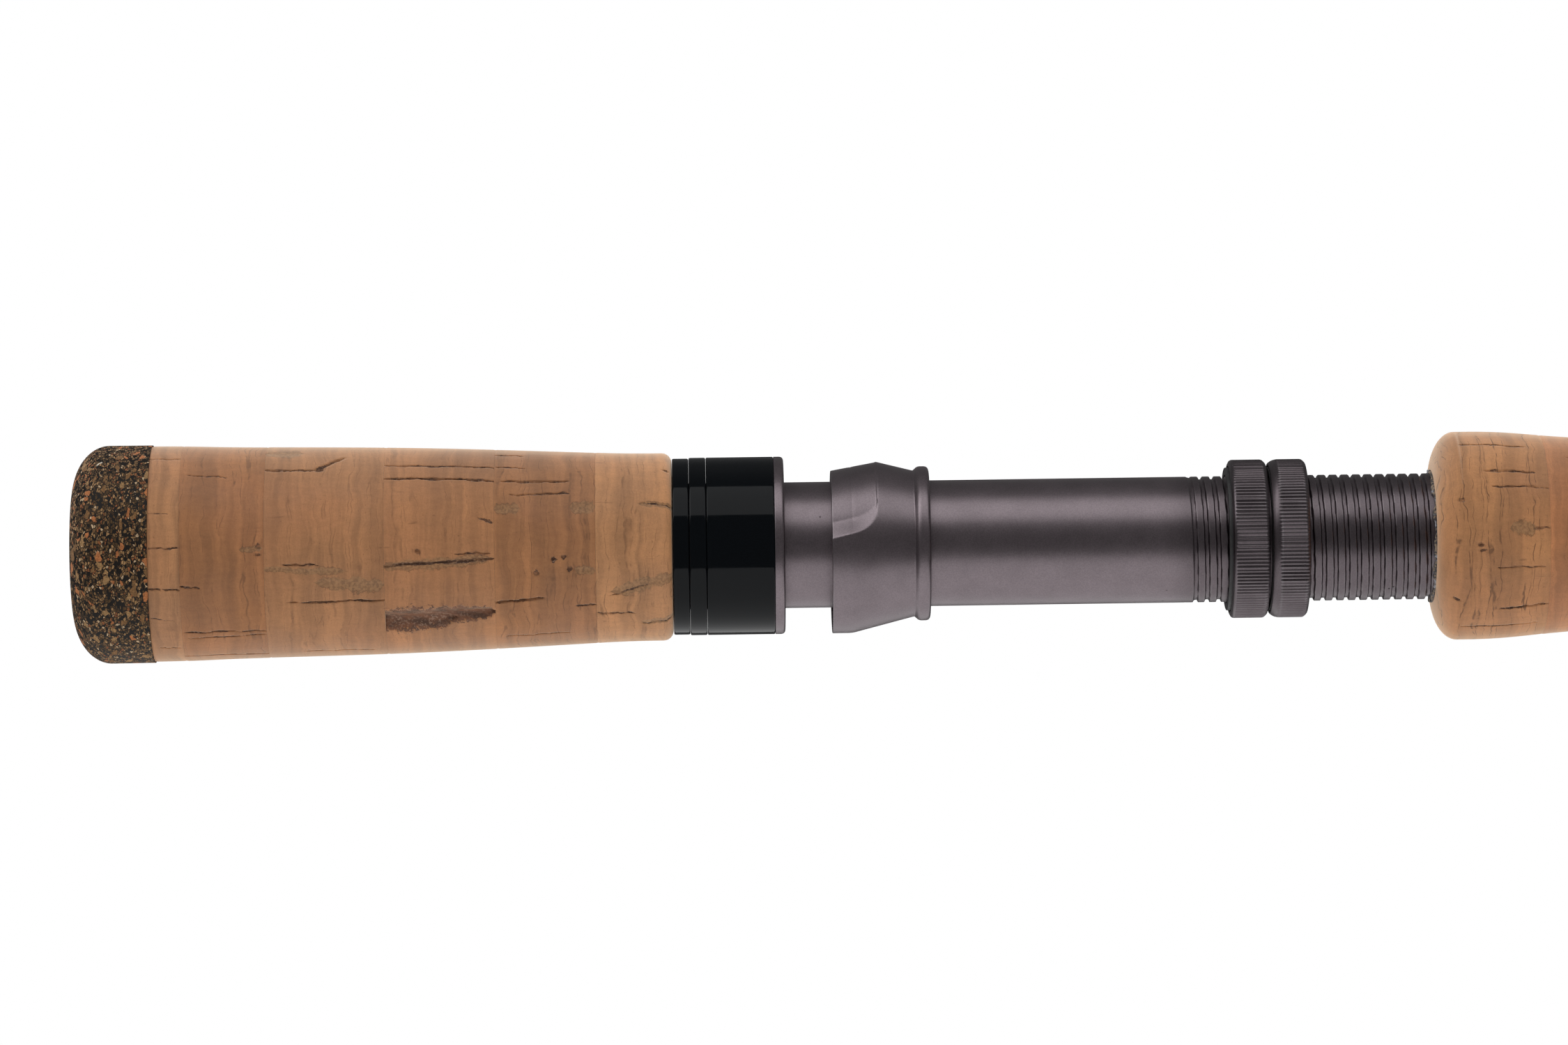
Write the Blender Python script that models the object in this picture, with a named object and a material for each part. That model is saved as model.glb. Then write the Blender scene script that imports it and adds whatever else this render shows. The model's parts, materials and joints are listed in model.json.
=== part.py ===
"""Butt section of a four-piece, two-handed fly rod, with its down-locking reel seat.

The rod's axis is X: the butt is at -X and the tip at +X. Z is up, so the reel foot's
pockets and the line guide are on the -Z side. The origin is on the rod's axis, in the
front face of the fixed hood. Sizes are in millimetres and become metres in to_metres().
"""

import math

import bmesh
import bpy
from mathutils import Matrix, Vector

# Fits
GLUE_GAP = 0.3            # left between neighbours that are glued face to face
BORE_GAP = 0.25           # radial, between a glued tube and what it sits on
RUNNING_GAP = 0.15        # radial, between the barrel and what slides or screws along it

# Blank: one hollow carbon tube that runs through every other piece
BLANK_REAR = -100.0
BLANK_FRONT = 674.0
BLANK_REAR_RADIUS = 6.6
BLANK_FRONT_RADIUS = 5.1
BLANK_WALL = 1.1
SPIGOT_LENGTH = 48.0      # bare length of the male ferrule
SPIGOT_SEAT = 40.0        # length glued inside the blank
SPIGOT_TAPER = 0.2

# Rear grip: a composite butt cap and six cork rings, rear to front
BUTT_END = -107.5
CAP_LENGTH = 12.4
CAP_FLAT_RADIUS = 4.0
CAP_DOME_RADIUS = 9.0       # where the shallow dome meets the round corner
CAP_DOME_HEIGHT = 0.28
CAP_CORNER_LENGTH = 5.6
REAR_RING_LENGTHS = (4.7, 12.7, 17.8, 16.5, 15.1, 11.5)
REAR_GRIP_RADII = (
    (-107.5, 16.45), (-95.1, 16.45), (-86.0, 16.05), (-60.0, 15.6), (-45.0, 15.1), (-16.8, 13.85),
)
REAR_GRIP_FRONT_CORNER = (1.5, 1.5)

# Collar between the rear grip and the reel seat
REAR_TRIM_LENGTH = 2.5
FRONT_TRIM_LENGTH = 2.6
SLEEVE_LENGTH = 10.2
FLANGE_LENGTH = 1.5
FLANGE_ROUND = 0.6
COLLAR_RADIUS = 13.4
SLEEVE_WALL = 0.45
TRIM_CHAMFER = 0.25

# Reel seat barrel
BARREL_REAR = -16.4
BARREL_FRONT = 110.0
BARREL_RADIUS = 9.5
BARREL_BORE = 8.3
THREAD_START = 60.2
THREAD_END = 103.0
THREAD_PITCH = 1.75
THREAD_DEPTH = 0.42

# Pockets for the reel's foot, open towards each other on the -Z side
POCKET_HALF_ANGLE = 40.0
POCKET_EDGE_ANGLE = 13.0
FIXED_POCKET_RADIUS = 12.2
FIXED_POCKET_DEPTH = 10.0

# Sliding hood
HOOD_MOUTH = 7.1
HOOD_LENGTH = 14.8
HOOD_CYLINDER = 3.0
HOOD_CONE_STEPS = 5
HOOD_NECK_RADIUS = 11.05
HOOD_NECK_FROM_MOUTH = 12.3
HOOD_BEAD_RADIUS = 11.65
HOOD_BEAD_LENGTH = 2.0
HOOD_WALL = 0.65
HOOD_POCKET_DEPTH = 9.4
HOOD_RELIEF_TOP = 11.15         # half the relief's height at the mouth, on top
HOOD_RELIEF_SIDE = 12.1         # half the relief's width, all along it
HOOD_RELIEF_SLOPE = 0.177
HOOD_RELIEF_LENGTH = 7.0
HOOD_RELIEF_EDGE = 4.0          # degrees above the horizontal, at the mouth
HOOD_RELIEF_EDGE_RISE = 12.0    # degrees more at the relief's front end
HOOD_RELIEF_FLANK = 12.0        # degrees, from the edge up to the relieved surface

# Locking nuts
NUT_RADIUS = 11.95
REAR_NUT_FACE = 67.1
FRONT_NUT_FACE = 73.1
NUT_LENGTH = 5.6
NUT_CHAMFER = 0.6
KNURL_DEPTH = 0.2
KNURL_FLUTES = 24
WASHER_RADIUS = 10.8
WASHER_THICKNESS = 1.6
WASHER_PROUD = 0.5

# Arbors: bushes that centre the blank in the barrel
ARBOR_CENTRES = (-6.0, 46.0, 100.0)
ARBOR_LENGTH = 12.0

# Foregrip: cork rings, rear to front
FOREGRIP_REAR = 97.7
FOREGRIP_LENGTH = 230.3
FOREGRIP_RINGS = 14
FOREGRIP_RADII = (
    (97.7, 16.3), (101.4, 16.3), (118.5, 14.6), (150.0, 12.9), (195.0, 12.2),
    (245.0, 12.8), (285.0, 13.1), (310.0, 11.6), (328.0, 9.2),
)
FOREGRIP_REAR_CORNER = (3.6, 6.0)       # along the axis, and radial
FOREGRIP_FRONT_CORNER = (1.0, 1.0)
WINDING_CHECK_LENGTH = 4.5
WINDING_CHECK_RADIUS = 8.3

# Line guide nearest the butt
GUIDE_X = 610.0
GUIDE_RING_RADIUS = 8.4
GUIDE_RING_SECTION = 0.95
GUIDE_RING_DROP = 12.6          # from the blank's surface to the ring's centre
GUIDE_WIRE = 0.8
GUIDE_REAR_REACH = 11.0
GUIDE_FRONT_REACH = 8.0
FOOT_LENGTH = 15.0
FOOT_HALF_WIDTH = 1.3
FOOT_HALF_HEIGHT = 0.4
INSERT_THICKNESS = 1.15
INSERT_WIDTH = 2.6
WRAP_WALL = 0.45
FERRULE_WRAP_LENGTH = 26.0

# Columns of faces round each kind of piece
CORK_SEGMENTS = 24
METAL_SEGMENTS = 30
HOOD_SEGMENTS = 48
THREAD_SEGMENTS = 24
TUBE_SEGMENTS = 20
GUIDE_SEGMENTS = 24


def to_metres(length):
    return length * 0.001


def clamp(value, low=0.0, high=1.0):
    return max(low, min(high, value))


def smoothstep(value):
    t = clamp(value)
    return t * t * (3.0 - 2.0 * t)


def curve_radius(stations, x):
    """Radius at x on a smooth curve (a cubic Hermite spline) through the stations."""
    xs = [station[0] for station in stations]
    rs = [station[1] for station in stations]
    if x <= xs[0]:
        return rs[0]
    if x >= xs[-1]:
        return rs[-1]
    slopes = []
    for i in range(len(xs)):
        low = max(i - 1, 0)
        high = min(i + 1, len(xs) - 1)
        slopes.append((rs[high] - rs[low]) / (xs[high] - xs[low]))
    i = max(k for k in range(len(xs) - 1) if xs[k] <= x)
    span = xs[i + 1] - xs[i]
    t = (x - xs[i]) / span
    start = (1.0 + 2.0 * t) * (1.0 - t) ** 2 * rs[i] + t * (1.0 - t) ** 2 * span * slopes[i]
    end = t * t * (3.0 - 2.0 * t) * rs[i + 1] + t * t * (t - 1.0) * span * slopes[i + 1]
    return start + end


def blank_radius(x):
    share = (x - BLANK_REAR) / (BLANK_FRONT - BLANK_REAR)
    return BLANK_REAR_RADIUS + (BLANK_FRONT_RADIUS - BLANK_REAR_RADIUS) * share


def arc(centre_x, centre_r, half_length, half_height, start, end, steps):
    """Points (x, r) on an elliptical arc, with angles in degrees from +x towards +r."""
    points = []
    for k in range(steps + 1):
        angle = math.radians(start + (end - start) * k / steps)
        points.append((centre_x + half_length * math.cos(angle), centre_r + half_height * math.sin(angle)))
    return points


# ---- Materials -------------------------------------------------------------------------


def make_material(name, colour, roughness, metallic=0.0):
    material = bpy.data.materials.new(name)
    material.use_nodes = True
    shader = material.node_tree.nodes["Principled BSDF"]
    shader.inputs["Base Color"].default_value = (*colour, 1.0)
    shader.inputs["Roughness"].default_value = roughness
    shader.inputs["Metallic"].default_value = metallic
    material.diffuse_color = (*colour, 1.0)
    return material


def make_materials():
    return {
        "cork": make_material("cork", (0.56, 0.36, 0.20), 0.8),
        "burl_cork": make_material("burl_cork", (0.13, 0.075, 0.045), 0.75),
        "gunmetal": make_material("gunmetal", (0.12, 0.10, 0.105), 0.38, 1.0),
        "black_gloss": make_material("black_gloss", (0.012, 0.012, 0.013), 0.12),
        "nylon": make_material("nylon", (0.02, 0.02, 0.02), 0.5),
        "carbon": make_material("carbon", (0.02, 0.022, 0.024), 0.2),
        "arbor_foam": make_material("arbor_foam", (0.5, 0.45, 0.36), 0.9),
        "guide_steel": make_material("guide_steel", (0.3, 0.3, 0.31), 0.25, 1.0),
        "guide_ceramic": make_material("guide_ceramic", (0.03, 0.03, 0.035), 0.15),
        "wrap_thread": make_material("wrap_thread", (0.03, 0.022, 0.02), 0.2),
    }


# ---- Meshes ----------------------------------------------------------------------------


def add_object(name, mesh_data, material, parent=None):
    """Turn a bmesh in millimetres into a named object in metres."""
    bmesh.ops.remove_doubles(mesh_data, verts=mesh_data.verts, dist=1e-4)
    bmesh.ops.recalc_face_normals(mesh_data, faces=mesh_data.faces)
    bmesh.ops.scale(mesh_data, vec=Vector((1.0, 1.0, 1.0)) * to_metres(1.0), verts=mesh_data.verts)
    mesh = bpy.data.meshes.new(name)
    mesh_data.to_mesh(mesh)
    mesh_data.free()
    mesh.materials.append(material)
    mesh.shade_smooth()
    mesh.set_sharp_from_angle(angle=math.radians(35.0))
    result = bpy.data.objects.new(name, mesh)
    bpy.context.scene.collection.objects.link(result)
    if parent is not None:
        mesh.transform(parent.matrix_world.inverted())
        result.parent = parent
    return result


def turn_profile(profile, segments, closed=True):
    """Spin a profile of (x, r) points round the X axis into a bmesh."""
    mesh_data = bmesh.new()
    vertices = [mesh_data.verts.new((x, 0.0, r)) for x, r in profile]
    edges = [mesh_data.edges.new(pair) for pair in zip(vertices, vertices[1:])]
    if closed:
        edges.append(mesh_data.edges.new((vertices[-1], vertices[0])))
    bmesh.ops.spin(
        mesh_data, geom=vertices + edges, cent=(0.0, 0.0, 0.0), axis=(1.0, 0.0, 0.0),
        angle=math.tau, steps=segments, use_merge=True,
    )
    return mesh_data


def ring_profile(x_start, x_end, bore, radius_at, start_corner=None, end_corner=None, steps=1):
    """Closed section of a ring whose outer radius is radius_at(x), with elliptical corners."""
    inner_start = x_start
    inner_end = x_end
    outer = []
    if start_corner:
        length, height = start_corner
        inner_start = x_start + length
        outer += arc(inner_start, radius_at(inner_start) - height, length, height, 180.0, 90.0, 5)
    else:
        outer.append((x_start, radius_at(x_start)))
    if end_corner:
        inner_end = x_end - end_corner[0]
    for k in range(1, steps):
        x = inner_start + (inner_end - inner_start) * k / steps
        outer.append((x, radius_at(x)))
    if end_corner:
        length, height = end_corner
        outer += arc(inner_end, radius_at(inner_end) - height, length, height, 90.0, 0.0, 3)
    else:
        outer.append((x_end, radius_at(x_end)))
    return outer + [(x_end, bore), (x_start, bore)]


def angle_from_bottom(vertex):
    """Degrees round the X axis from -Z, 0 at the bottom and 180 at the top."""
    return math.degrees(abs(math.atan2(vertex.co.y, -vertex.co.z)))


def set_radius(vertex, radius):
    old = math.hypot(vertex.co.y, vertex.co.z)
    vertex.co.y *= radius / old
    vertex.co.z *= radius / old


def cut_foot_pocket(mesh_data, bore, pocket_radius_at):
    """Push the bore's wall out to the pocket's radius over the lower sector."""
    for vertex in mesh_data.verts:
        target = pocket_radius_at(vertex.co.x)
        on_bore = abs(math.hypot(vertex.co.y, vertex.co.z) - bore) < 0.01
        if on_bore and target is not None:
            edge = (angle_from_bottom(vertex) - POCKET_HALF_ANGLE) / POCKET_EDGE_ANGLE
            set_radius(vertex, bore + (target - bore) * (1.0 - smoothstep(edge)))


def sweep_tube(path, half_widths, half_heights, sides):
    """Closed tube along a path, with an elliptical section: half width in Y, half height up."""
    mesh_data = bmesh.new()
    rings = []
    for k, point in enumerate(path):
        behind = path[max(k - 1, 0)]
        ahead = path[min(k + 1, len(path) - 1)]
        tangent = (Vector(ahead) - Vector(behind)).normalized()
        side = tangent.cross(Vector((0.0, 0.0, 1.0)))
        if side.length < 0.1:
            side = tangent.cross(Vector((1.0, 0.0, 0.0)))
        side.normalize()
        up = side.cross(tangent).normalized()
        ring = []
        for j in range(sides):
            angle = math.tau * (j + 0.5) / sides
            offset = side * (half_widths[k] * math.cos(angle)) + up * (half_heights[k] * math.sin(angle))
            ring.append(mesh_data.verts.new(Vector(point) + offset))
        rings.append(ring)
    for ring, following in zip(rings, rings[1:]):
        for j in range(sides):
            after = (j + 1) % sides
            mesh_data.faces.new((ring[j], ring[after], following[after], following[j]))
    mesh_data.faces.new(list(reversed(rings[0])))
    mesh_data.faces.new(rings[-1])
    return mesh_data


def add_joint_empty(name, x, parent=None):
    """Empty on the rod's axis that a moving piece is parented to."""
    empty = bpy.data.objects.new(name, None)
    bpy.context.scene.collection.objects.link(empty)
    empty.empty_display_size = to_metres(20.0)
    if parent is None:
        empty.location = (to_metres(x), 0.0, 0.0)
    else:
        empty.parent = parent
        empty.location = (to_metres(x) - parent.matrix_world.translation.x, 0.0, 0.0)
    bpy.context.view_layer.update()
    return empty


# ---- Rear grip -------------------------------------------------------------------------


def rear_grip_radius(x):
    return curve_radius(REAR_GRIP_RADII, x)


def cork_bore(x_start):
    return blank_radius(x_start) + BORE_GAP


def build_butt_cap(materials):
    """Composite cap: shallow dome round a flat, a broad round corner, a blind bore for the blank."""
    face = BUTT_END + CAP_LENGTH - GLUE_GAP
    radius = rear_grip_radius(BUTT_END)
    bore = cork_bore(BLANK_REAR)
    floor = BLANK_REAR - GLUE_GAP
    corner_start = BUTT_END + CAP_DOME_HEIGHT
    corner_end = corner_start + CAP_CORNER_LENGTH
    profile = [(BUTT_END, 0.0), (BUTT_END, CAP_FLAT_RADIUS)]
    profile += arc(corner_end, CAP_DOME_RADIUS, CAP_CORNER_LENGTH, radius - CAP_DOME_RADIUS, 180.0, 90.0, 6)
    profile += [(face, rear_grip_radius(face)), (face, bore), (floor, bore), (floor, 0.0)]
    add_object("butt_cap", turn_profile(profile, CORK_SEGMENTS, closed=False), materials["burl_cork"])


def build_rear_grip(materials):
    x = BUTT_END + CAP_LENGTH
    for number, length in enumerate(REAR_RING_LENGTHS, start=1):
        last = number == len(REAR_RING_LENGTHS)
        corner = REAR_GRIP_FRONT_CORNER if last else None
        end = x + length - GLUE_GAP
        profile = ring_profile(x, end, cork_bore(x), rear_grip_radius, end_corner=corner, steps=2)
        add_object(f"rear_grip_ring_{number}", turn_profile(profile, CORK_SEGMENTS), materials["cork"])
        x += length


# ---- Collar and fixed hood ---------------------------------------------------------------


def chamfered_ring(x_start, x_end, bore, radius, chamfer):
    return [
        (x_start, radius - chamfer), (x_start + chamfer, radius), (x_end - chamfer, radius),
        (x_end, radius - chamfer), (x_end, bore), (x_start, bore),
    ]


def build_collar(materials):
    """Two thin trim rings, then the black sleeve that covers the fixed hood."""
    bore = BARREL_RADIUS + BORE_GAP
    flange_start = -FLANGE_LENGTH
    sleeve_start = flange_start - SLEEVE_LENGTH
    front_trim_start = sleeve_start - FRONT_TRIM_LENGTH
    rear_trim_start = front_trim_start - REAR_TRIM_LENGTH
    rings = (
        ("rear_trim_ring", rear_trim_start, REAR_TRIM_LENGTH, COLLAR_RADIUS - 0.1, bore),
        ("front_trim_ring", front_trim_start, FRONT_TRIM_LENGTH, COLLAR_RADIUS, bore),
        ("collar_sleeve", sleeve_start, SLEEVE_LENGTH, COLLAR_RADIUS, COLLAR_RADIUS - SLEEVE_WALL),
    )
    for name, start, length, radius, ring_bore in rings:
        profile = chamfered_ring(start, start + length - GLUE_GAP, ring_bore, radius, TRIM_CHAMFER)
        add_object(name, turn_profile(profile, METAL_SEGMENTS), materials["black_gloss"])


def build_fixed_hood(materials):
    """Cup glued on the barrel: flange at its mouth, and the rear pocket for the reel's foot."""
    bore = BARREL_RADIUS + BORE_GAP
    cup = COLLAR_RADIUS - SLEEVE_WALL - BORE_GAP
    rear = -FLANGE_LENGTH - SLEEVE_LENGTH
    pocket_end = -FIXED_POCKET_DEPTH
    flange = -FLANGE_LENGTH
    profile = [(rear, cup), (flange, cup), (flange, COLLAR_RADIUS)]
    round_edge = FLANGE_ROUND
    profile += arc(-round_edge, COLLAR_RADIUS - round_edge, round_edge, round_edge, 90.0, 0.0, 3)
    profile += [(0.0, bore), (-5.0, bore), (pocket_end, bore), (pocket_end - 0.8, bore), (rear, bore)]
    mesh_data = turn_profile(profile, HOOD_SEGMENTS)

    def pocket_radius(x):
        return FIXED_POCKET_RADIUS if x > pocket_end - 0.01 else None

    cut_foot_pocket(mesh_data, bore, pocket_radius)
    add_object("fixed_hood", mesh_data, materials["gunmetal"])


# ---- Barrel ------------------------------------------------------------------------------


def build_barrel(materials):
    """Turned tube with a single-start thread, whose rows of vertices follow the helix."""
    root = BARREL_RADIUS - THREAD_DEPTH
    per_turn = 2
    turns = math.ceil((THREAD_END - THREAD_START) / THREAD_PITCH) + 2
    mesh_data = bmesh.new()
    columns = []
    for j in range(THREAD_SEGMENTS):
        angle = math.tau * j / THREAD_SEGMENTS
        column = []
        plain = [(BARREL_FRONT, BARREL_BORE), (BARREL_REAR, BARREL_BORE), (BARREL_REAR, BARREL_RADIUS)]
        plain.append((THREAD_START - THREAD_DEPTH, BARREL_RADIUS))
        for k in range(per_turn * turns):
            x = THREAD_START + (k / per_turn - 1.0 + j / THREAD_SEGMENTS) * THREAD_PITCH
            inside = THREAD_START < x < THREAD_END
            crest = inside and k % per_turn == 0
            plain.append((clamp(x, THREAD_START, THREAD_END), BARREL_RADIUS if crest else root))
        plain += [(BARREL_FRONT - THREAD_DEPTH, BARREL_RADIUS), (BARREL_FRONT, BARREL_RADIUS - THREAD_DEPTH)]
        for x, radius in plain:
            column.append(mesh_data.verts.new((x, -radius * math.sin(angle), radius * math.cos(angle))))
        columns.append(column)
    head = 4
    thread_rows = per_turn * turns
    for j in range(THREAD_SEGMENTS):
        column = columns[j]
        following = columns[(j + 1) % THREAD_SEGMENTS]
        shift = per_turn if j == THREAD_SEGMENTS - 1 else 0
        rows = len(column)
        for i in range(rows):
            after = (i + 1) % rows
            near = min(i + shift, head + thread_rows - 1) if head <= i < head + thread_rows else i
            far = min(after + shift, head + thread_rows - 1) if head <= after < head + thread_rows else after
            if i == head - 1:
                far = head
            corners = [column[i], column[after], following[far], following[near]]
            distinct = list(dict.fromkeys(corners))
            if len(distinct) > 2:
                mesh_data.faces.new(distinct)
    add_object("reel_seat_barrel", mesh_data, materials["gunmetal"])


def build_arbors(materials):
    for number, centre in enumerate(ARBOR_CENTRES, start=1):
        start = centre - ARBOR_LENGTH / 2.0
        end = centre + ARBOR_LENGTH / 2.0
        bore = blank_radius(start) + BORE_GAP
        profile = [(start, BARREL_BORE - BORE_GAP), (end, BARREL_BORE - BORE_GAP), (end, bore), (start, bore)]
        add_object(f"seat_arbor_{number}", turn_profile(profile, TUBE_SEGMENTS), materials["arbor_foam"])


# ---- Sliding hood --------------------------------------------------------------------------


def hood_cone_radius(x):
    """Radius of the hood's full outer surface, from the mouth cylinder to the neck."""
    start = HOOD_MOUTH + HOOD_CYLINDER
    end = HOOD_MOUTH + HOOD_NECK_FROM_MOUTH
    share = clamp((x - start) / (end - start))
    return COLLAR_RADIUS + (HOOD_NECK_RADIUS - COLLAR_RADIUS) * share


def relieve_upper_side(mesh_data):
    """Mill the upper side down to an oval cone, with a sloping flank down each side."""
    for vertex in mesh_data.verts:
        radius = math.hypot(vertex.co.y, vertex.co.z)
        along = (vertex.co.x - HOOD_MOUTH) / HOOD_RELIEF_LENGTH
        top = HOOD_RELIEF_TOP + HOOD_RELIEF_SLOPE * (vertex.co.x - HOOD_MOUTH)
        relieved = radius / math.hypot(vertex.co.y / HOOD_RELIEF_SIDE, vertex.co.z / top)
        outside = radius > hood_cone_radius(vertex.co.x) - 0.4
        if outside and along < 1.0 and relieved < radius:
            height = angle_from_bottom(vertex) - 90.0
            edge = HOOD_RELIEF_EDGE + HOOD_RELIEF_EDGE_RISE * along
            share = 1.0 - (1.0 - clamp((height - edge) / HOOD_RELIEF_FLANK)) ** 1.4
            set_radius(vertex, radius + (relieved - radius) * share)


def build_sliding_hood(materials):
    """Turned hood with a beaded neck, the front foot pocket, and a relieved upper side."""
    bore = BARREL_RADIUS + RUNNING_GAP
    end = HOOD_MOUTH + HOOD_LENGTH
    bead_start = end - HOOD_BEAD_LENGTH
    neck = HOOD_MOUTH + HOOD_NECK_FROM_MOUTH
    pocket_end = HOOD_MOUTH + HOOD_POCKET_DEPTH
    profile = [(HOOD_MOUTH, COLLAR_RADIUS - 0.2), (HOOD_MOUTH + 0.2, COLLAR_RADIUS)]
    cone_start = HOOD_MOUTH + HOOD_CYLINDER
    profile.append((HOOD_MOUTH + HOOD_CYLINDER / 2.0, COLLAR_RADIUS))
    for k in range(HOOD_CONE_STEPS + 1):
        x = cone_start + (neck - cone_start) * k / HOOD_CONE_STEPS
        profile.append((x, hood_cone_radius(x)))
    profile += [
        (bead_start, HOOD_NECK_RADIUS + 0.2), (bead_start + 0.4, HOOD_BEAD_RADIUS),
        (end - 0.3, HOOD_BEAD_RADIUS), (end, HOOD_BEAD_RADIUS - 0.3),
        (end, bore), (pocket_end + 0.8, bore), (pocket_end, bore),
        (HOOD_MOUTH + HOOD_CYLINDER, bore), (HOOD_MOUTH, bore),
    ]
    mesh_data = turn_profile(profile, HOOD_SEGMENTS)

    def pocket_radius(x):
        return hood_cone_radius(x) - HOOD_WALL if x < pocket_end + 0.01 else None

    cut_foot_pocket(mesh_data, bore, pocket_radius)
    relieve_upper_side(mesh_data)
    empty = add_joint_empty("sliding_hood_joint", HOOD_MOUTH)
    add_object("sliding_hood", mesh_data, materials["gunmetal"], empty)


# ---- Locking nuts --------------------------------------------------------------------------


def build_washer(name, start, materials, parent):
    profile = [
        (start, WASHER_RADIUS), (start + WASHER_THICKNESS, WASHER_RADIUS),
        (start + WASHER_THICKNESS, BARREL_RADIUS + RUNNING_GAP), (start, BARREL_RADIUS + RUNNING_GAP),
    ]
    add_object(name, turn_profile(profile, METAL_SEGMENTS), materials["nylon"], parent)


def build_nut(name, face, washer_start, shoulder, materials, parent):
    """Nut with a counterbore for its thrust washer, a straight knurl and chamfered edges."""
    end = face + NUT_LENGTH
    bore = BARREL_RADIUS + RUNNING_GAP
    counterbore = WASHER_RADIUS + BORE_GAP
    counterbore_end = washer_start + WASHER_THICKNESS + BORE_GAP
    segments = KNURL_FLUTES * 2
    profile = [
        (face, NUT_RADIUS - NUT_CHAMFER), (face + shoulder, NUT_RADIUS),
        (end - NUT_CHAMFER, NUT_RADIUS), (end, NUT_RADIUS - NUT_CHAMFER),
        (end, bore), (counterbore_end, bore), (counterbore_end, counterbore), (face, counterbore),
    ]
    mesh_data = turn_profile(profile, segments)
    for vertex in mesh_data.verts:
        radius = math.hypot(vertex.co.y, vertex.co.z)
        column = round(math.atan2(vertex.co.y, vertex.co.z) / math.tau * segments)
        if radius > NUT_RADIUS - 0.1 and column % 2:
            set_radius(vertex, radius - KNURL_DEPTH)
    add_object(name, mesh_data, materials["gunmetal"], parent)


def build_locking_nuts(materials):
    """Each nut turns on its washer's slide, and the front pair rides on the rear nut."""
    rear_washer = REAR_NUT_FACE - WASHER_PROUD
    rear_slide = add_joint_empty("rear_nut_slide_joint", REAR_NUT_FACE)
    build_washer("rear_thrust_washer", rear_washer, materials, rear_slide)
    rear_turn = add_joint_empty("rear_nut_turn_joint", REAR_NUT_FACE, rear_slide)
    build_nut("rear_lock_nut", REAR_NUT_FACE, rear_washer, 0.9, materials, rear_turn)
    front_washer = FRONT_NUT_FACE - 0.1
    front_slide = add_joint_empty("front_nut_slide_joint", FRONT_NUT_FACE, rear_turn)
    build_washer("front_thrust_washer", front_washer, materials, front_slide)
    front_turn = add_joint_empty("front_nut_turn_joint", FRONT_NUT_FACE, front_slide)
    build_nut("front_lock_nut", FRONT_NUT_FACE, front_washer, 1.1, materials, front_turn)


# ---- Foregrip ------------------------------------------------------------------------------


def foregrip_radius(x):
    return curve_radius(FOREGRIP_RADII, x)


def build_foregrip(materials):
    """Cork rings on the blank; the first is bored out over the barrel's end."""
    length = FOREGRIP_LENGTH / FOREGRIP_RINGS
    for number in range(1, FOREGRIP_RINGS + 1):
        start = FOREGRIP_REAR + (number - 1) * length
        end = start + length - GLUE_GAP
        bore = BARREL_RADIUS + BORE_GAP if number == 1 else blank_radius(start) + BORE_GAP
        first = FOREGRIP_REAR_CORNER if number == 1 else None
        last = FOREGRIP_FRONT_CORNER if number == FOREGRIP_RINGS else None
        steps = 2 if number in (1, FOREGRIP_RINGS) else 1
        profile = ring_profile(start, end, bore, foregrip_radius, first, last, steps)
        add_object(f"foregrip_ring_{number}", turn_profile(profile, CORK_SEGMENTS), materials["cork"])


def build_winding_check(materials):
    """Tapered metal ring that closes the foregrip's front end."""
    start = FOREGRIP_REAR + FOREGRIP_LENGTH
    end = start + WINDING_CHECK_LENGTH
    bore = blank_radius(start) + BORE_GAP
    profile = [
        (start, WINDING_CHECK_RADIUS - 0.3), (start + 0.3, WINDING_CHECK_RADIUS),
        (start + 1.3, WINDING_CHECK_RADIUS), (end, bore + 0.6), (end, bore), (start, bore),
    ]
    add_object("winding_check", turn_profile(profile, METAL_SEGMENTS), materials["gunmetal"])


# ---- Blank and ferrule ---------------------------------------------------------------------


def build_blank(materials):
    """Tapered tube, thinning evenly from the butt to the ferrule."""
    ends = (BLANK_REAR, BLANK_FRONT)
    outer = [(x, blank_radius(x)) for x in ends]
    inner = [(x, blank_radius(x) - BLANK_WALL) for x in reversed(ends)]
    add_object("blank", turn_profile(outer + inner, TUBE_SEGMENTS), materials["carbon"])


def build_ferrule(materials):
    """Solid spigot glued in the blank's end, and the thread wrap that keeps it from splitting."""
    seat = BLANK_FRONT - SPIGOT_SEAT
    end = BLANK_FRONT + SPIGOT_LENGTH
    radius = BLANK_FRONT_RADIUS - BLANK_WALL - 0.15
    profile = [
        (seat, 0.0), (seat, radius), (BLANK_FRONT, radius), (end - 0.6, radius - SPIGOT_TAPER),
        (end, radius - SPIGOT_TAPER - 0.6), (end, 0.0),
    ]
    add_object("ferrule_spigot", turn_profile(profile, TUBE_SEGMENTS, closed=False), materials["carbon"])
    start = BLANK_FRONT - FERRULE_WRAP_LENGTH
    bore = blank_radius(start) + BORE_GAP
    wrap = chamfered_ring(start, BLANK_FRONT, bore, bore + WRAP_WALL, 0.3)
    add_object("ferrule_wrap", turn_profile(wrap, TUBE_SEGMENTS), materials["wrap_thread"])


# ---- Line guide ----------------------------------------------------------------------------


def guide_centre():
    return Vector((GUIDE_X, 0.0, -blank_radius(GUIDE_X) - GUIDE_RING_DROP))


def foot_height(x):
    """Z of the middle of a foot that lies on the blank's lower side."""
    return -blank_radius(x) - 0.25 - FOOT_HALF_HEIGHT


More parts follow.
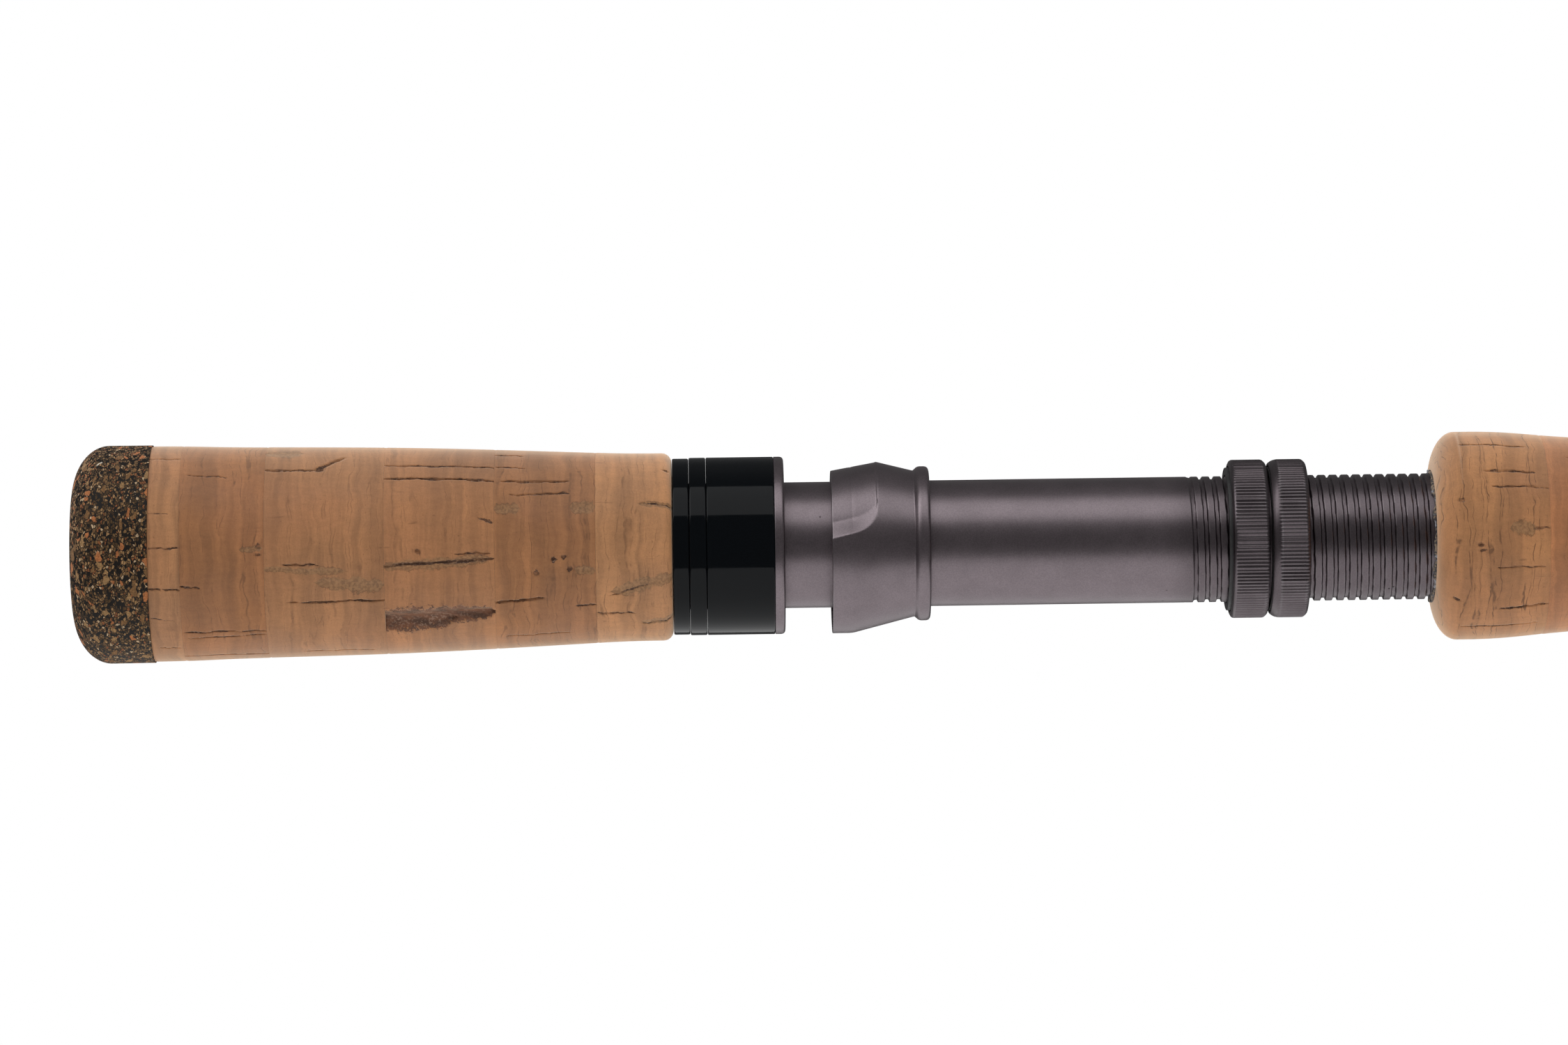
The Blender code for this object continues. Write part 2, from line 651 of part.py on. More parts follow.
def guide_leg(side, reach, direction):
    """Wire from the ring, down to the blank and on into a thin foot."""
    centre = guide_centre()
    knee = GUIDE_X + direction * reach
    toe = knee + direction * FOOT_LENGTH
    spread = side * 0.75 * GUIDE_RING_RADIUS
    lift = math.sqrt(GUIDE_RING_RADIUS ** 2 - spread ** 2)
    path = [
        centre + Vector((0.0, spread, lift)),
        Vector((GUIDE_X + direction * reach * 0.55, spread * 0.55, centre.z + lift + 1.6)),
        Vector((knee, side * 0.45, foot_height(knee) - 0.15)),
        Vector((knee + direction * 2.5, side * 0.25, foot_height(knee))),
        Vector((toe, side * 0.2, foot_height(toe))),
    ]
    widths = [GUIDE_WIRE, GUIDE_WIRE, GUIDE_WIRE * 1.2, FOOT_HALF_WIDTH, FOOT_HALF_WIDTH * 0.45]
    heights = [GUIDE_WIRE, GUIDE_WIRE * 0.9, GUIDE_WIRE * 0.65, FOOT_HALF_HEIGHT, FOOT_HALF_HEIGHT * 0.5]
    return sweep_tube(path, widths, heights, 8)


def guide_ring(radius, half_width, half_thickness, sides, segments):
    """Ring of elliptical section round an axis along X through the guide's centre."""
    profile = []
    for k in range(sides):
        angle = math.tau * (k + 0.5) / sides
        profile.append((half_width * math.cos(angle), radius + half_thickness * math.sin(angle)))
    mesh_data = turn_profile(profile, segments)
    bmesh.ops.transform(mesh_data, matrix=Matrix.Translation(guide_centre()), verts=mesh_data.verts)
    return mesh_data


def build_guide(materials):
    """Ring frame on three legs, joined into one solid, with a separate ceramic insert."""
    section = GUIDE_RING_SECTION
    ring = guide_ring(GUIDE_RING_RADIUS, section, section, 8, GUIDE_SEGMENTS)
    frame = add_object("guide_frame", ring, materials["guide_steel"])
    legs = [
        guide_leg(1.0, GUIDE_REAR_REACH, -1.0), guide_leg(-1.0, GUIDE_REAR_REACH, -1.0),
        guide_leg(0.0, GUIDE_FRONT_REACH, 1.0),
    ]
    for number, leg in enumerate(legs, start=1):
        cutter = add_object(f"guide_leg_shape_{number}", leg, materials["guide_steel"])
        cutter.hide_render = True
        cutter.display_type = "WIRE"
        union = frame.modifiers.new(f"leg_{number}", "BOOLEAN")
        union.operation = "UNION"
        union.solver = "EXACT"
        union.object = cutter
    insert_radius = GUIDE_RING_RADIUS - section - GLUE_GAP - INSERT_THICKNESS / 2.0
    insert = guide_ring(insert_radius, INSERT_WIDTH / 2.0, INSERT_THICKNESS / 2.0, 6, GUIDE_SEGMENTS)
    add_object("guide_insert", insert, materials["guide_ceramic"])


def build_guide_wraps(materials):
    """Thread sleeves over the feet, set off centre so that they clear foot and blank alike."""
    foot = 2.0 * FOOT_HALF_HEIGHT
    wraps = (("guide_wrap_rear", -1.0, GUIDE_REAR_REACH), ("guide_wrap_front", 1.0, GUIDE_FRONT_REACH))
    for name, direction, reach in wraps:
        near = GUIDE_X + direction * (reach + 3.5)
        far = GUIDE_X + direction * (reach + FOOT_LENGTH + 4.0)
        start = min(near, far)
        end = max(near, far)
        bore = blank_radius(start) + (foot + 3.0 * BORE_GAP) / 2.0
        mesh_data = turn_profile(chamfered_ring(start, end, bore, bore + WRAP_WALL, 0.3), TUBE_SEGMENTS)
        shift = Vector((0.0, 0.0, -(foot + BORE_GAP) / 2.0))
        bmesh.ops.translate(mesh_data, vec=shift, verts=mesh_data.verts)
        add_object(name, mesh_data, materials["wrap_thread"])


def main():
    for existing in list(bpy.data.objects):
        bpy.data.objects.remove(existing, do_unlink=True)
    materials = make_materials()
    build_butt_cap(materials)
    build_rear_grip(materials)
    build_collar(materials)
    build_fixed_hood(materials)
    build_barrel(materials)
    build_arbors(materials)
    build_sliding_hood(materials)
    build_locking_nuts(materials)
    build_foregrip(materials)
    build_winding_check(materials)
    build_blank(materials)
    build_ferrule(materials)
    build_guide(materials)
    build_guide_wraps(materials)


main()
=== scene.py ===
"""Finish of a two-handed fly rod's butt section: cork grips, reel seat, blank and line guide.

X runs along the rod from butt to tip and Z is up. Lengths are in metres. Every piece is
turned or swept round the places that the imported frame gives, and rides on a frame body.
"""

import json
import math
from collections import namedtuple

import bmesh
import bpy
import numpy as np
from bpy.props import FloatProperty, FloatVectorProperty, IntProperty, PointerProperty
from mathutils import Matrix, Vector


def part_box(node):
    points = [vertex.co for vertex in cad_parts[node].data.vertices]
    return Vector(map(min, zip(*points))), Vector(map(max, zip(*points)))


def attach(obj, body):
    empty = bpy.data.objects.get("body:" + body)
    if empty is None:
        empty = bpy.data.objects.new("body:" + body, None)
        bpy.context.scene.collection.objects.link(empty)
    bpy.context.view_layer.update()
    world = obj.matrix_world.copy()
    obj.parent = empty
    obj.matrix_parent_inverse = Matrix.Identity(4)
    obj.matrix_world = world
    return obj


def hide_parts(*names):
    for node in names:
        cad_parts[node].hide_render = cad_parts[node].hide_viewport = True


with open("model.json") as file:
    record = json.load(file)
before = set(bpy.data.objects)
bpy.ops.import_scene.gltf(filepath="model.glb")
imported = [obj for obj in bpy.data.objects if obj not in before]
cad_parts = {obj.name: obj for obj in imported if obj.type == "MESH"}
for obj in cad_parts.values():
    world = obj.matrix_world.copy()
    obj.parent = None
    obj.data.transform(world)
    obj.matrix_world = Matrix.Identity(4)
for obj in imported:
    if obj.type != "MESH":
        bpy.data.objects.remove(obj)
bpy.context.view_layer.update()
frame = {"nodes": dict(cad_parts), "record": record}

bl_info = {
    "name": "Fly rod butt section",
    "version": (1, 0, 0),
    "blender": (4, 5, 0),
    "location": "3D View > Sidebar > Rod",
    "description": "Makes the cork, metal, blank and guide of a rod's butt section round its frame",
    "category": "Object",
}

MM = 0.001
TINY = 1e-7
SHARP_ROUNDING = 0.14 * MM    # corners this sharp show rubbed edges
SEAM = 0.02 * MM              # gap between two glued pieces of the grips
COLLAR_GAP = 0.03 * MM        # gap between two pieces of the collar
END_GAP = 0.05 * MM           # gap between a grip's end and the metal in front of it

Span = namedtuple("Span", "start end outer bore")
Mark = namedtuple("Mark", "angle begin end width drift depth kind", defaults=("crevice",))


# ---- Reading the frame -------------------------------------------------------------------


def node_stations(node):
    """Every vertex of a node as (x, radius), in metres."""
    vertices = frame["nodes"][node].data.vertices
    places = np.empty(len(vertices) * 3)
    vertices.foreach_get("co", places)
    x, y, z = places.reshape(-1, 3).T
    return x, np.hypot(y, z)


def span_of(node):
    """Where a turned node starts and ends, and its outer and bore radius."""
    x, radius = node_stations(node)
    return Span(x.min(), x.max(), radius.max(), radius.min())


def widest_at(nodes, digits):
    """Greatest radius of the nodes' vertices at each x, rounded to so many digits."""
    stations = {}
    for node in nodes:
        x, radius = node_stations(node)
        for place, value in zip(np.round(x, digits), radius):
            stations[place] = max(stations.get(place, 0.0), value)
    return stations


def numbered_nodes(stem):
    """Nodes called stem_1, stem_2 and so on, in order."""
    names = [name for name in frame["nodes"] if name.startswith(stem + "_")]
    return sorted(names, key=lambda name: int(name.rsplit("_", 1)[1]))


# ---- Small mathematics -------------------------------------------------------------------


def smoothstep(value):
    """0 up to 0, 1 from 1, and a smooth rise between."""
    t = np.clip(value, 0.0, 1.0)
    return t * t * (3.0 - 2.0 * t)


def smooth_noise(rng, count, places):
    """Repeatable wavy values from -1 to 1 at places from 0 to 1, with count bumps."""
    knots = rng.uniform(-1.0, 1.0, count + 2)
    position = np.clip(places, 0.0, 1.0) * count
    low = np.floor(position).astype(int)
    return knots[low] + (knots[low + 1] - knots[low]) * smoothstep(position - low)


def rounded(outline, closed=True, steps=5):
    """Section of (x, r, edge) from an outline of (x, r, rounding); edge is 1 on a corner's crown."""
    points = [np.array(corner[:2], dtype=float) for corner in outline]
    count = len(points)
    section = []
    for i, point in enumerate(points):
        rounding = outline[i][2]
        at_end = not closed and i in (0, count - 1)
        if rounding == 0.0 or at_end:
            section.append((*point, 0.0))
            continue
        behind = points[i - 1] - point
        ahead = points[(i + 1) % count] - point
        reach = min(rounding, 0.48 * np.linalg.norm(behind), 0.48 * np.linalg.norm(ahead))
        first = point + behind / np.linalg.norm(behind) * reach
        last = point + ahead / np.linalg.norm(ahead) * reach
        for k in range(steps + 1):
            t = k / steps
            place = first * (1.0 - t) ** 2 + point * 2.0 * t * (1.0 - t) + last * t * t
            crown = 4.0 * t * (1.0 - t) * min(1.0, SHARP_ROUNDING / rounding)
            section.append((*place, crown if rounding < 2.5 * SHARP_ROUNDING else 0.0))
    return section


def spaced(section, spacing, low=-math.inf, high=math.inf, closed=True, above=0.0):
    """The same section with points no further apart than spacing between low and high."""
    result = []
    count = len(section)
    for i in range(count if closed else count - 1):
        here = np.array(section[i])
        after = np.array(section[(i + 1) % count])
        inside = min(here[0], after[0]) < high and max(here[0], after[0]) > low
        inside = inside and max(here[1], after[1]) > above
        along = abs(after[0] - here[0]) if inside else 0.0
        parts = max(1, math.ceil(along / spacing))
        for k in range(parts):
            result.append(tuple(here + (after - here) * k / parts))
    if not closed:
        result.append(section[-1])
    return result


def quarter(centre, half_length, half_height, start, steps=8):
    """Quarter of an ellipse from start degrees, turning clockwise, as (x, r, edge)."""
    points = []
    for k in range(steps + 1):
        angle = math.radians(start - 90.0 * k / steps)
        x = centre[0] + half_length * math.cos(angle)
        r = centre[1] + half_height * math.sin(angle)
        points.append((x, r, 0.5))
    return points


# ---- Meshes ------------------------------------------------------------------------------


class Turned:
    """A section turned round the X axis: arrays with a row per point and a column per angle."""

    def __init__(self, section, columns, closed=True):
        stations = np.array(section)
        self.closed = closed
        self.angle = np.arange(columns) / columns * math.tau
        self.x = np.repeat(stations[:, :1], columns, axis=1)
        self.r = np.repeat(stations[:, 1:2], columns, axis=1)
        self.edge = np.repeat(stations[:, 2:3], columns, axis=1)
        self.attributes = {"edge": self.edge}

    def degrees_from_bottom(self):
        """0 at the bottom and 180 on top, the same on both sides."""
        return 180.0 - np.degrees(np.minimum(self.angle, math.tau - self.angle))

    def turn_from(self, angle):
        """Turn from the given angle, between minus and plus half a revolution."""
        return (self.angle - angle + math.pi) % math.tau - math.pi

    def points(self, drop=0.0):
        """Places of all the points, moved down by drop."""
        y = -self.r * np.sin(self.angle)
        z = self.r * np.cos(self.angle) - drop
        return np.stack((self.x, y, z), axis=-1)


def grid_mesh(name, points, closed, attributes):
    """Mesh of a grid of points, round its columns and, if closed, round its rows as well."""
    rows, columns = points.shape[:2]
    index = np.arange(rows * columns).reshape(rows, columns)
    if not closed:
        for row in (0, rows - 1):
            if np.ptp(points[row], axis=0).max() < TINY:
                index[row] = index[row, 0]
    count = rows if closed else rows - 1
    near = index[:count]
    far = index[(np.arange(count) + 1) % rows]
    quads = np.stack((near, np.roll(near, -1, 1), np.roll(far, -1, 1), far), axis=-1).reshape(-1, 4)
    used, quads = np.unique(quads, return_inverse=True)
    quads = quads.reshape(-1, 4).tolist()
    faces = [list(dict.fromkeys(quad)) for quad in quads]
    mesh = bpy.data.meshes.new(name)
    mesh.from_pydata(points.reshape(-1, 3)[used].tolist(), [], faces)
    for label, values in attributes.items():
        layer = mesh.attributes.new(label, "FLOAT", "POINT")
        layer.data.foreach_set("value", values.reshape(-1)[used].astype(np.float32))
    mesh.shade_smooth()
    return mesh


def place_piece(name, mesh, material, node, body="rod", sharp=38.0):
    """Object for a mesh that stands for a frame node and rides on its body."""
    mesh.set_sharp_from_angle(angle=math.radians(sharp))
    piece = bpy.data.objects.new(name, mesh)
    bpy.context.scene.collection.objects.link(piece)
    mesh.materials.append(material)
    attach(piece, body)
    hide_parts(node)
    slot_of(node)
    return piece


def slot_of(node):
    """Material slot that the record gives a node."""
    for row in frame["record"]["subparts"]:
        if row["node"] == node:
            return row["material_slot"]
    raise RuntimeError(f"the record names no material for {node}")


def turned_piece(name, turned, material, node, body="rod", sharp=38.0):
    """Piece from a turned section."""
    mesh = grid_mesh(name, turned.points(), turned.closed, turned.attributes)
    return place_piece(name, mesh, material, node, body, sharp)


def ring_outline(span, outer_round, bore_round=0.1 * MM):
    """Four corners of a plain ring, with its outer and inner edges rounded."""
    return [
        (span.start, span.bore, bore_round), (span.start, span.outer, outer_round),
        (span.end, span.outer, outer_round), (span.end, span.bore, bore_round),
    ]


def join_loops(mesh_data, loops, closed=False):
    """Quads from each loop of vertices to the next, and from the last to the first if closed."""
    count = len(loops)
    for i in range(count if closed else count - 1):
        near = loops[i]
        far = loops[(i + 1) % count]
        for j in range(len(near)):
            after = (j + 1) % len(near)
            mesh_data.faces.new((near[j], near[after], far[after], far[j]))


def tube_mesh(path, half_widths, half_heights, sides=20):
    """Closed tube along a path, widened in Y by half_widths and in its own upright by half_heights."""
    mesh_data = bmesh.new()
    rings = []
    for k, point in enumerate(path):
        tangent = (path[min(k + 1, len(path) - 1)] - path[max(k - 1, 0)]).normalized()
        side = tangent.cross(Vector((0.0, 0.0, 1.0)))
        if side.length < 0.1:
            side = tangent.cross(Vector((1.0, 0.0, 0.0)))
        side.normalize()
        up = side.cross(tangent).normalized()
        ring = []
        for j in range(sides):
            angle = math.tau * j / sides
            offset = side * half_widths[k] * math.cos(angle) + up * half_heights[k] * math.sin(angle)
            ring.append(mesh_data.verts.new(point + offset))
        rings.append(ring)
    join_loops(mesh_data, rings)
    mesh_data.faces.new(list(reversed(rings[0])))
    mesh_data.faces.new(rings[-1])
    return mesh_data


def curve_through(points, values, steps=12):
    """Catmull-Rom curve through points, with values carried along it."""
    path = []
    carried = []
    last = len(points) - 1
    for i in range(last):
        p0 = points[max(i - 1, 0)]
        p1 = points[i]
        p2 = points[i + 1]
        p3 = points[min(i + 2, last)]
        for k in range(steps):
            t = k / steps
            bend = p0 * -1.0 + p1 * 3.0 - p2 * 3.0 + p3
            lean = p0 * 2.0 - p1 * 5.0 + p2 * 4.0 - p3
            path.append((p1 * 2.0 + (p2 - p0) * t + lean * t * t + bend * t ** 3) * 0.5)
            carried.append([a + (b - a) * smoothstep(t) for a, b in zip(values[i], values[i + 1])])
    path.append(points[-1])
    carried.append(list(values[-1]))
    return path, carried


# ---- Materials ---------------------------------------------------------------------------


class Wire:
    """Output of a node that sums, differences and products can be written with."""

    def __init__(self, recipe, socket):
        self.recipe = recipe
        self.socket = socket

    def __add__(self, other):
        return self.recipe.math("ADD", self, other)

    def __radd__(self, other):
        return self.recipe.math("ADD", other, self)

    def __sub__(self, other):
        return self.recipe.math("SUBTRACT", self, other)

    def __rsub__(self, other):
        return self.recipe.math("SUBTRACT", other, self)

    def __mul__(self, other):
        return self.recipe.math("MULTIPLY", self, other)


class Recipe:
    """Short way of writing a material's nodes."""

    def __init__(self, name):
        self.material = bpy.data.materials.new(name)
        self.material.use_nodes = True
        self.tree = self.material.node_tree
        self.shader = self.tree.nodes["Principled BSDF"]
        self.place = self.add("ShaderNodeTexCoord").outputs["Object"]

    def join(self, value, socket):
        """Link a wire or an output to a socket, or set the socket to a plain value."""
        if isinstance(value, Wire):
            self.tree.links.new(value.socket, socket)
        elif isinstance(value, bpy.types.NodeSocket):
            self.tree.links.new(value, socket)
        elif socket.type == "RGBA":
            socket.default_value = (*value, 1.0)
        else:
            socket.default_value = value

    def add(self, kind, inputs=None, **settings):
        node = self.tree.nodes.new(kind)
        for key, value in settings.items():
            setattr(node, key, value)
        for key, value in (inputs or {}).items():
            self.join(value, node.inputs[key])
        return node

    def vector_math(self, operation, first, second):
        return self.add("ShaderNodeVectorMath", {0: first, 1: second}, operation=operation).outputs[0]

    def noise(self, scale, detail=3.0, stretch=None, place=None, roughness=0.55):
        source = self.place if place is None else place
        if stretch:
            source = self.vector_math("MULTIPLY", source, stretch)
        inputs = {"Vector": source, "Scale": scale, "Detail": detail, "Roughness": roughness}
        return Wire(self, self.add("ShaderNodeTexNoise", inputs).outputs["Fac"])

    def cells(self, scale, place=None, feature="F1"):
        inputs = {"Vector": self.place if place is None else place, "Scale": scale}
        return self.add("ShaderNodeTexVoronoi", inputs, feature=feature)

    def attribute(self, name):
        return Wire(self, self.add("ShaderNodeAttribute", attribute_name=name).outputs["Fac"])

    def math(self, operation, first, second=0.0, clamp=False):
        node = self.add("ShaderNodeMath", {0: first, 1: second}, operation=operation, use_clamp=clamp)
        return Wire(self, node.outputs[0])

    def between(self, value, low, high, to_low=0.0, to_high=1.0):
        """Smooth change from to_low to to_high as value goes from low to high."""
        inputs = {"Value": value, "From Min": low, "From Max": high, "To Min": to_low, "To Max": to_high}
        node = self.add("ShaderNodeMapRange", inputs, interpolation_type="SMOOTHSTEP")
        return Wire(self, node.outputs["Result"])

    def blend(self, factor, first, second, mode="MIX"):
        node = self.add("ShaderNodeMix", data_type="RGBA", blend_type=mode)
        self.join(factor, node.inputs[0])
        self.join(first, node.inputs[6])
        self.join(second, node.inputs[7])
        return node.outputs[2]

    def shade(self, colour, amount):
        """Colour multiplied by a number."""
        grey = self.add("ShaderNodeCombineColor", {0: amount, 1: amount, 2: amount}).outputs[0]
        return self.blend(1.0, colour, grey, "MULTIPLY")

    def choice(self, value, stops):
        """Hard steps of colour: stops is a list of (position, colour)."""
        ramp = self.add("ShaderNodeValToRGB", {0: value})
        ramp.color_ramp.interpolation = "CONSTANT"
        elements = ramp.color_ramp.elements
        while len(elements) < len(stops):
            elements.new(0.5)
        for element, (position, colour) in zip(elements, stops):
            element.position = position
            element.color = (*colour, 1.0)
        return ramp.outputs[0]

    def bump(self, height, distance, strength):
        inputs = {"Height": height, "Distance": distance, "Strength": strength}
        return self.add("ShaderNodeBump", inputs).outputs[0]

    def finish(self, **sockets):
        """Set the shader's sockets, written as words with _ for spaces."""
        for key, value in sockets.items():
            self.join(value, self.shader.inputs[key.replace("_", " ")])
        return self.material


def finish_once(maker):
    """The material that maker gives, made only the first time."""
    kept = {}

    def cached():
        if "made" not in kept:
            kept["made"] = maker()
        return kept["made"]

    return cached


@finish_once
def cork_finish():
    """Sliced cork: growth lines across the rod, pores along it, dark crevices and dusty filler."""
    looks = bpy.context.scene.rod_cork
    recipe = Recipe("sanded_cork")
    tint = recipe.add("ShaderNodeAttribute", attribute_name="tint").outputs["Color"]
    wander = recipe.noise(150.0, 3.0) * 0.003
    sideways = recipe.add("ShaderNodeCombineXYZ", {0: wander}).outputs[0]
    shifted = recipe.vector_math("ADD", recipe.place, sideways)
    cloud = recipe.noise(90.0, 4.0)
    colour = recipe.shade(tint, recipe.between(cloud, 0.25, 0.75, 0.88, 1.12))
    blush = recipe.between(recipe.noise(60.0, 2.0), 0.45, 0.7, 0.0, 0.5)
    colour = recipe.blend(blush * 0.5, colour, looks.blush_colour)
    grain = recipe.noise(1.0, 3.0, (700.0, 40.0, 40.0), shifted)
    colour = recipe.shade(colour, recipe.between(grain, 0.3, 0.7, 0.82, 1.14))
    weave = recipe.noise(1.0, 2.0, (500.0, 1500.0, 1500.0))
    colour = recipe.shade(colour, recipe.between(weave, 0.3, 0.7, 0.95, 1.04))
    line = 0.0
    for stretch, width in (((300.0, 11.0, 11.0), 0.010), ((480.0, 24.0, 24.0), 0.016)):
        band = recipe.noise(1.0, 1.0, stretch, shifted)
        contour = recipe.math("ABSOLUTE", band - 0.5)
        broken = recipe.between(recipe.noise(130.0 + stretch[0], 2.0), 0.40, 0.60, 0.1, 1.0)
        thin = recipe.between(contour, 0.0, width, 1.0, 0.0) * broken
        line = recipe.math("ADD", line, thin, clamp=True)
    line = recipe.math("MULTIPLY", line, recipe.attribute("grain"), clamp=True)
    colour = recipe.blend(line * 0.8, colour, looks.line_colour)
    streak = recipe.noise(1.0, 3.0, (130.0, 1500.0, 1500.0))
    dash = recipe.between(streak, 0.66, 0.74)
    dash = dash * recipe.between(recipe.noise(260.0, 2.0), 0.5, 0.62)
    colour = recipe.blend(dash * 0.5, colour, looks.line_colour)
    speck = recipe.between(recipe.noise(2600.0, 2.0), 0.66, 0.74, 0.0, 0.35)
    colour = recipe.blend(speck, colour, looks.line_colour)
    fine = recipe.noise(4200.0, 3.0)
    colour = recipe.shade(colour, recipe.between(fine, 0.3, 0.7, 0.94, 1.06))
    ragged = recipe.noise(1900.0, 5.0, roughness=0.65)
    fringe = (ragged - 0.5) * 1.9
    filled = recipe.attribute("filler") + fringe
    gravel = recipe.between(recipe.noise(2500.0, 3.0), 0.38, 0.62, 0.55, 1.15)
    filling = recipe.shade(looks.filler_colour, gravel)
    colour = recipe.blend(recipe.between(filled, -0.05, 0.25, 0.0, 0.6), colour, filling)
    rim = recipe.between(recipe.math("ABSOLUTE", filled - 0.1), 0.03, 0.2, 0.6, 0.0)
    patchy = recipe.between(recipe.noise(330.0, 2.0), 0.42, 0.58)
    colour = recipe.blend(rim * patchy, colour, looks.line_colour)
    open_depth = recipe.attribute("crevice") + fringe
    gap = recipe.between(open_depth, 0.05, 0.25)
    faint = recipe.between(recipe.noise(1.0, 2.0, (420.0, 900.0, 900.0)), 0.38, 0.62, 0.25, 1.0)
    sunk = recipe.between(recipe.attribute("void"), 0.1, 0.5)
    gap = gap * recipe.math("MAXIMUM", faint, sunk)
    wood = recipe.noise(1.0, 3.0, (420.0, 1300.0, 1300.0))
    inside = recipe.blend(recipe.between(wood, 0.35, 0.65), looks.crevice_colour, looks.void_colour)
    inside = recipe.blend(1.0 - sunk, inside, looks.crevice_colour)
    crumbs = recipe.between(recipe.noise(2500.0, 4.0), 0.50, 0.60, 0.0, 0.75)
    where = recipe.between(recipe.noise(200.0, 1.0), 0.40, 0.58, 0.3, 1.0)
    where = where * recipe.between(open_depth, 0.25, 0.5)
    inside = recipe.blend(crumbs * where, inside, looks.crumb_colour)
    colour = recipe.blend(gap * 0.9, colour, inside)
    height = fine * 0.35 + grain * 0.3
    height = height - line * 0.5
    height = height - gap
    return recipe.finish(
        Base_Color=colour,
        Roughness=recipe.between(cloud, 0.3, 0.7, 0.58, 0.74),
        Specular_IOR_Level=0.5,
        Sheen_Weight=1.0,
        Sheen_Roughness=0.35,
        Sheen_Tint=(1.0, 0.78, 0.58),
        Normal=recipe.bump(height, 0.06 * MM, 0.6),
    )


@finish_once
def composite_finish():
    """Rubberised composite: tan and rust cork granules in a near-black binder."""
    looks = bpy.context.scene.rod_cap
    recipe = Recipe("rubberised_composite")
    wander = recipe.add("ShaderNodeTexNoise", {"Vector": recipe.place, "Scale": 500.0, "Detail": 2.0})
    bend = recipe.vector_math("MULTIPLY", wander.outputs["Color"], (0.0009, 0.0009, 0.0009))
    place = recipe.vector_math("ADD", recipe.place, bend)
    small_granules = [
        (0.0, looks.binder_colour), (0.20, (0.070, 0.038, 0.015)), (0.48, (0.16, 0.088, 0.036)),
        (0.72, (0.29, 0.165, 0.072)), (0.88, (0.22, 0.080, 0.028)), (0.96, (0.46, 0.32, 0.19)),
    ]
    large_granules = [
        (0.0, looks.binder_colour), (0.82, (0.18, 0.092, 0.036)), (0.88, (0.27, 0.155, 0.066)),
        (0.93, looks.rust_colour), (0.995, (0.62, 0.55, 0.45)),
    ]
    colour = looks.binder_colour
    height = 0.0
    layers = (
        ((3000.0, 1900.0, 1900.0), small_granules, 0.14),
        ((1150.0, 760.0, 760.0), large_granules, 0.12),
    )
    for stretch, stops, rim in layers:
        spot = recipe.vector_math("MULTIPLY", place, stretch)
        cell = recipe.cells(1.0, spot)
        border = recipe.cells(1.0, spot, "DISTANCE_TO_EDGE").outputs["Distance"]
        random = recipe.add("ShaderNodeSeparateColor", {0: cell.outputs["Color"]}).outputs[0]
        granule = recipe.choice(random, stops)
        solid = recipe.between(border, rim * 0.45, rim)
        present = recipe.math("GREATER_THAN", random, stops[1][0])
        solid = solid * present
        texture = recipe.noise(3800.0, 3.0)
        granule = recipe.shade(granule, recipe.between(texture, 0.3, 0.7, 0.7, 1.3))
        colour = recipe.blend(solid, colour, granule)
        height = height + solid * 0.5
    return recipe.finish(
        Base_Color=colour,
        Roughness=recipe.between(height, 0.0, 1.0, 0.6, 0.8),
        Specular_IOR_Level=0.2,
        Normal=recipe.bump(height, 0.05 * MM, 0.6),
    )


@finish_once
def gunmetal_finish():
    """Bead-blasted and anodised aluminium: fine grain, faint turning marks, worn edges, a few pits, and
    painted shade darkening the thread and knurl.
    """
    looks = bpy.context.scene.rod_metal
    recipe = Recipe("blasted_gunmetal")
    grit = recipe.noise(5200.0, 2.0)
    cloud = recipe.noise(210.0, 4.0)
    turning = recipe.noise(1.0, 2.0, (6500.0, 60.0, 60.0))
    colour = recipe.shade(looks.metal_colour, recipe.between(cloud, 0.25, 0.75, 0.93, 1.07))
    colour = recipe.shade(colour, recipe.between(grit, 0.3, 0.7, 0.9, 1.1))
    # painted shade: the barrel's threaded part and the knurled nuts are darkened here, standing in for
    # the shade in their grooves
    colour = recipe.shade(colour, 1.0 - recipe.attribute("groove_shade"))
    wear = recipe.attribute("edge") * recipe.between(cloud, 0.35, 0.6, 0.15, 0.5)
    colour = recipe.blend(wear, colour, looks.worn_colour)
    pit = recipe.between(recipe.cells(330.0).outputs["Distance"], 0.04, 0.075, 1.0, 0.0)
    rare = recipe.between(recipe.noise(95.0, 1.0), 0.58, 0.64)
    pit = pit * rare
    colour = recipe.blend(pit, colour, (0.012, 0.010, 0.010))
    height = grit + turning * 0.35
    height = height - pit
    rough = looks.roughness - 0.03 + cloud * 0.06
    return recipe.finish(
        Base_Color=colour,
        Metallic=1.0,
        Roughness=rough - wear * 0.06,
        Normal=recipe.bump(height, 0.02 * MM, 0.30),
    )


@finish_once
def gloss_black_finish():
    """Polished black trim, with hair-fine wipe marks and a little dust."""
    looks = bpy.context.scene.rod_trim
    recipe = Recipe("gloss_black")
    wipe = recipe.noise(1.0, 3.0, (260.0, 2600.0, 2600.0))
    cell = recipe.cells(420.0)
    speck = recipe.between(cell.outputs["Distance"], 0.03, 0.06, 1.0, 0.0)
    rare = recipe.between(recipe.noise(150.0, 1.0), 0.60, 0.66)
    dust = speck * rare
    colour = recipe.blend(dust, looks.gloss_colour, (0.09, 0.095, 0.10))
    polish = looks.gloss_roughness
    return recipe.finish(
        Base_Color=colour,
        Roughness=recipe.between(wipe, 0.3, 0.7, polish * 0.7, polish * 1.4),
        Specular_IOR_Level=0.16,
        Normal=recipe.bump(dust + wipe * 0.04, 0.01 * MM, 0.35),
    )


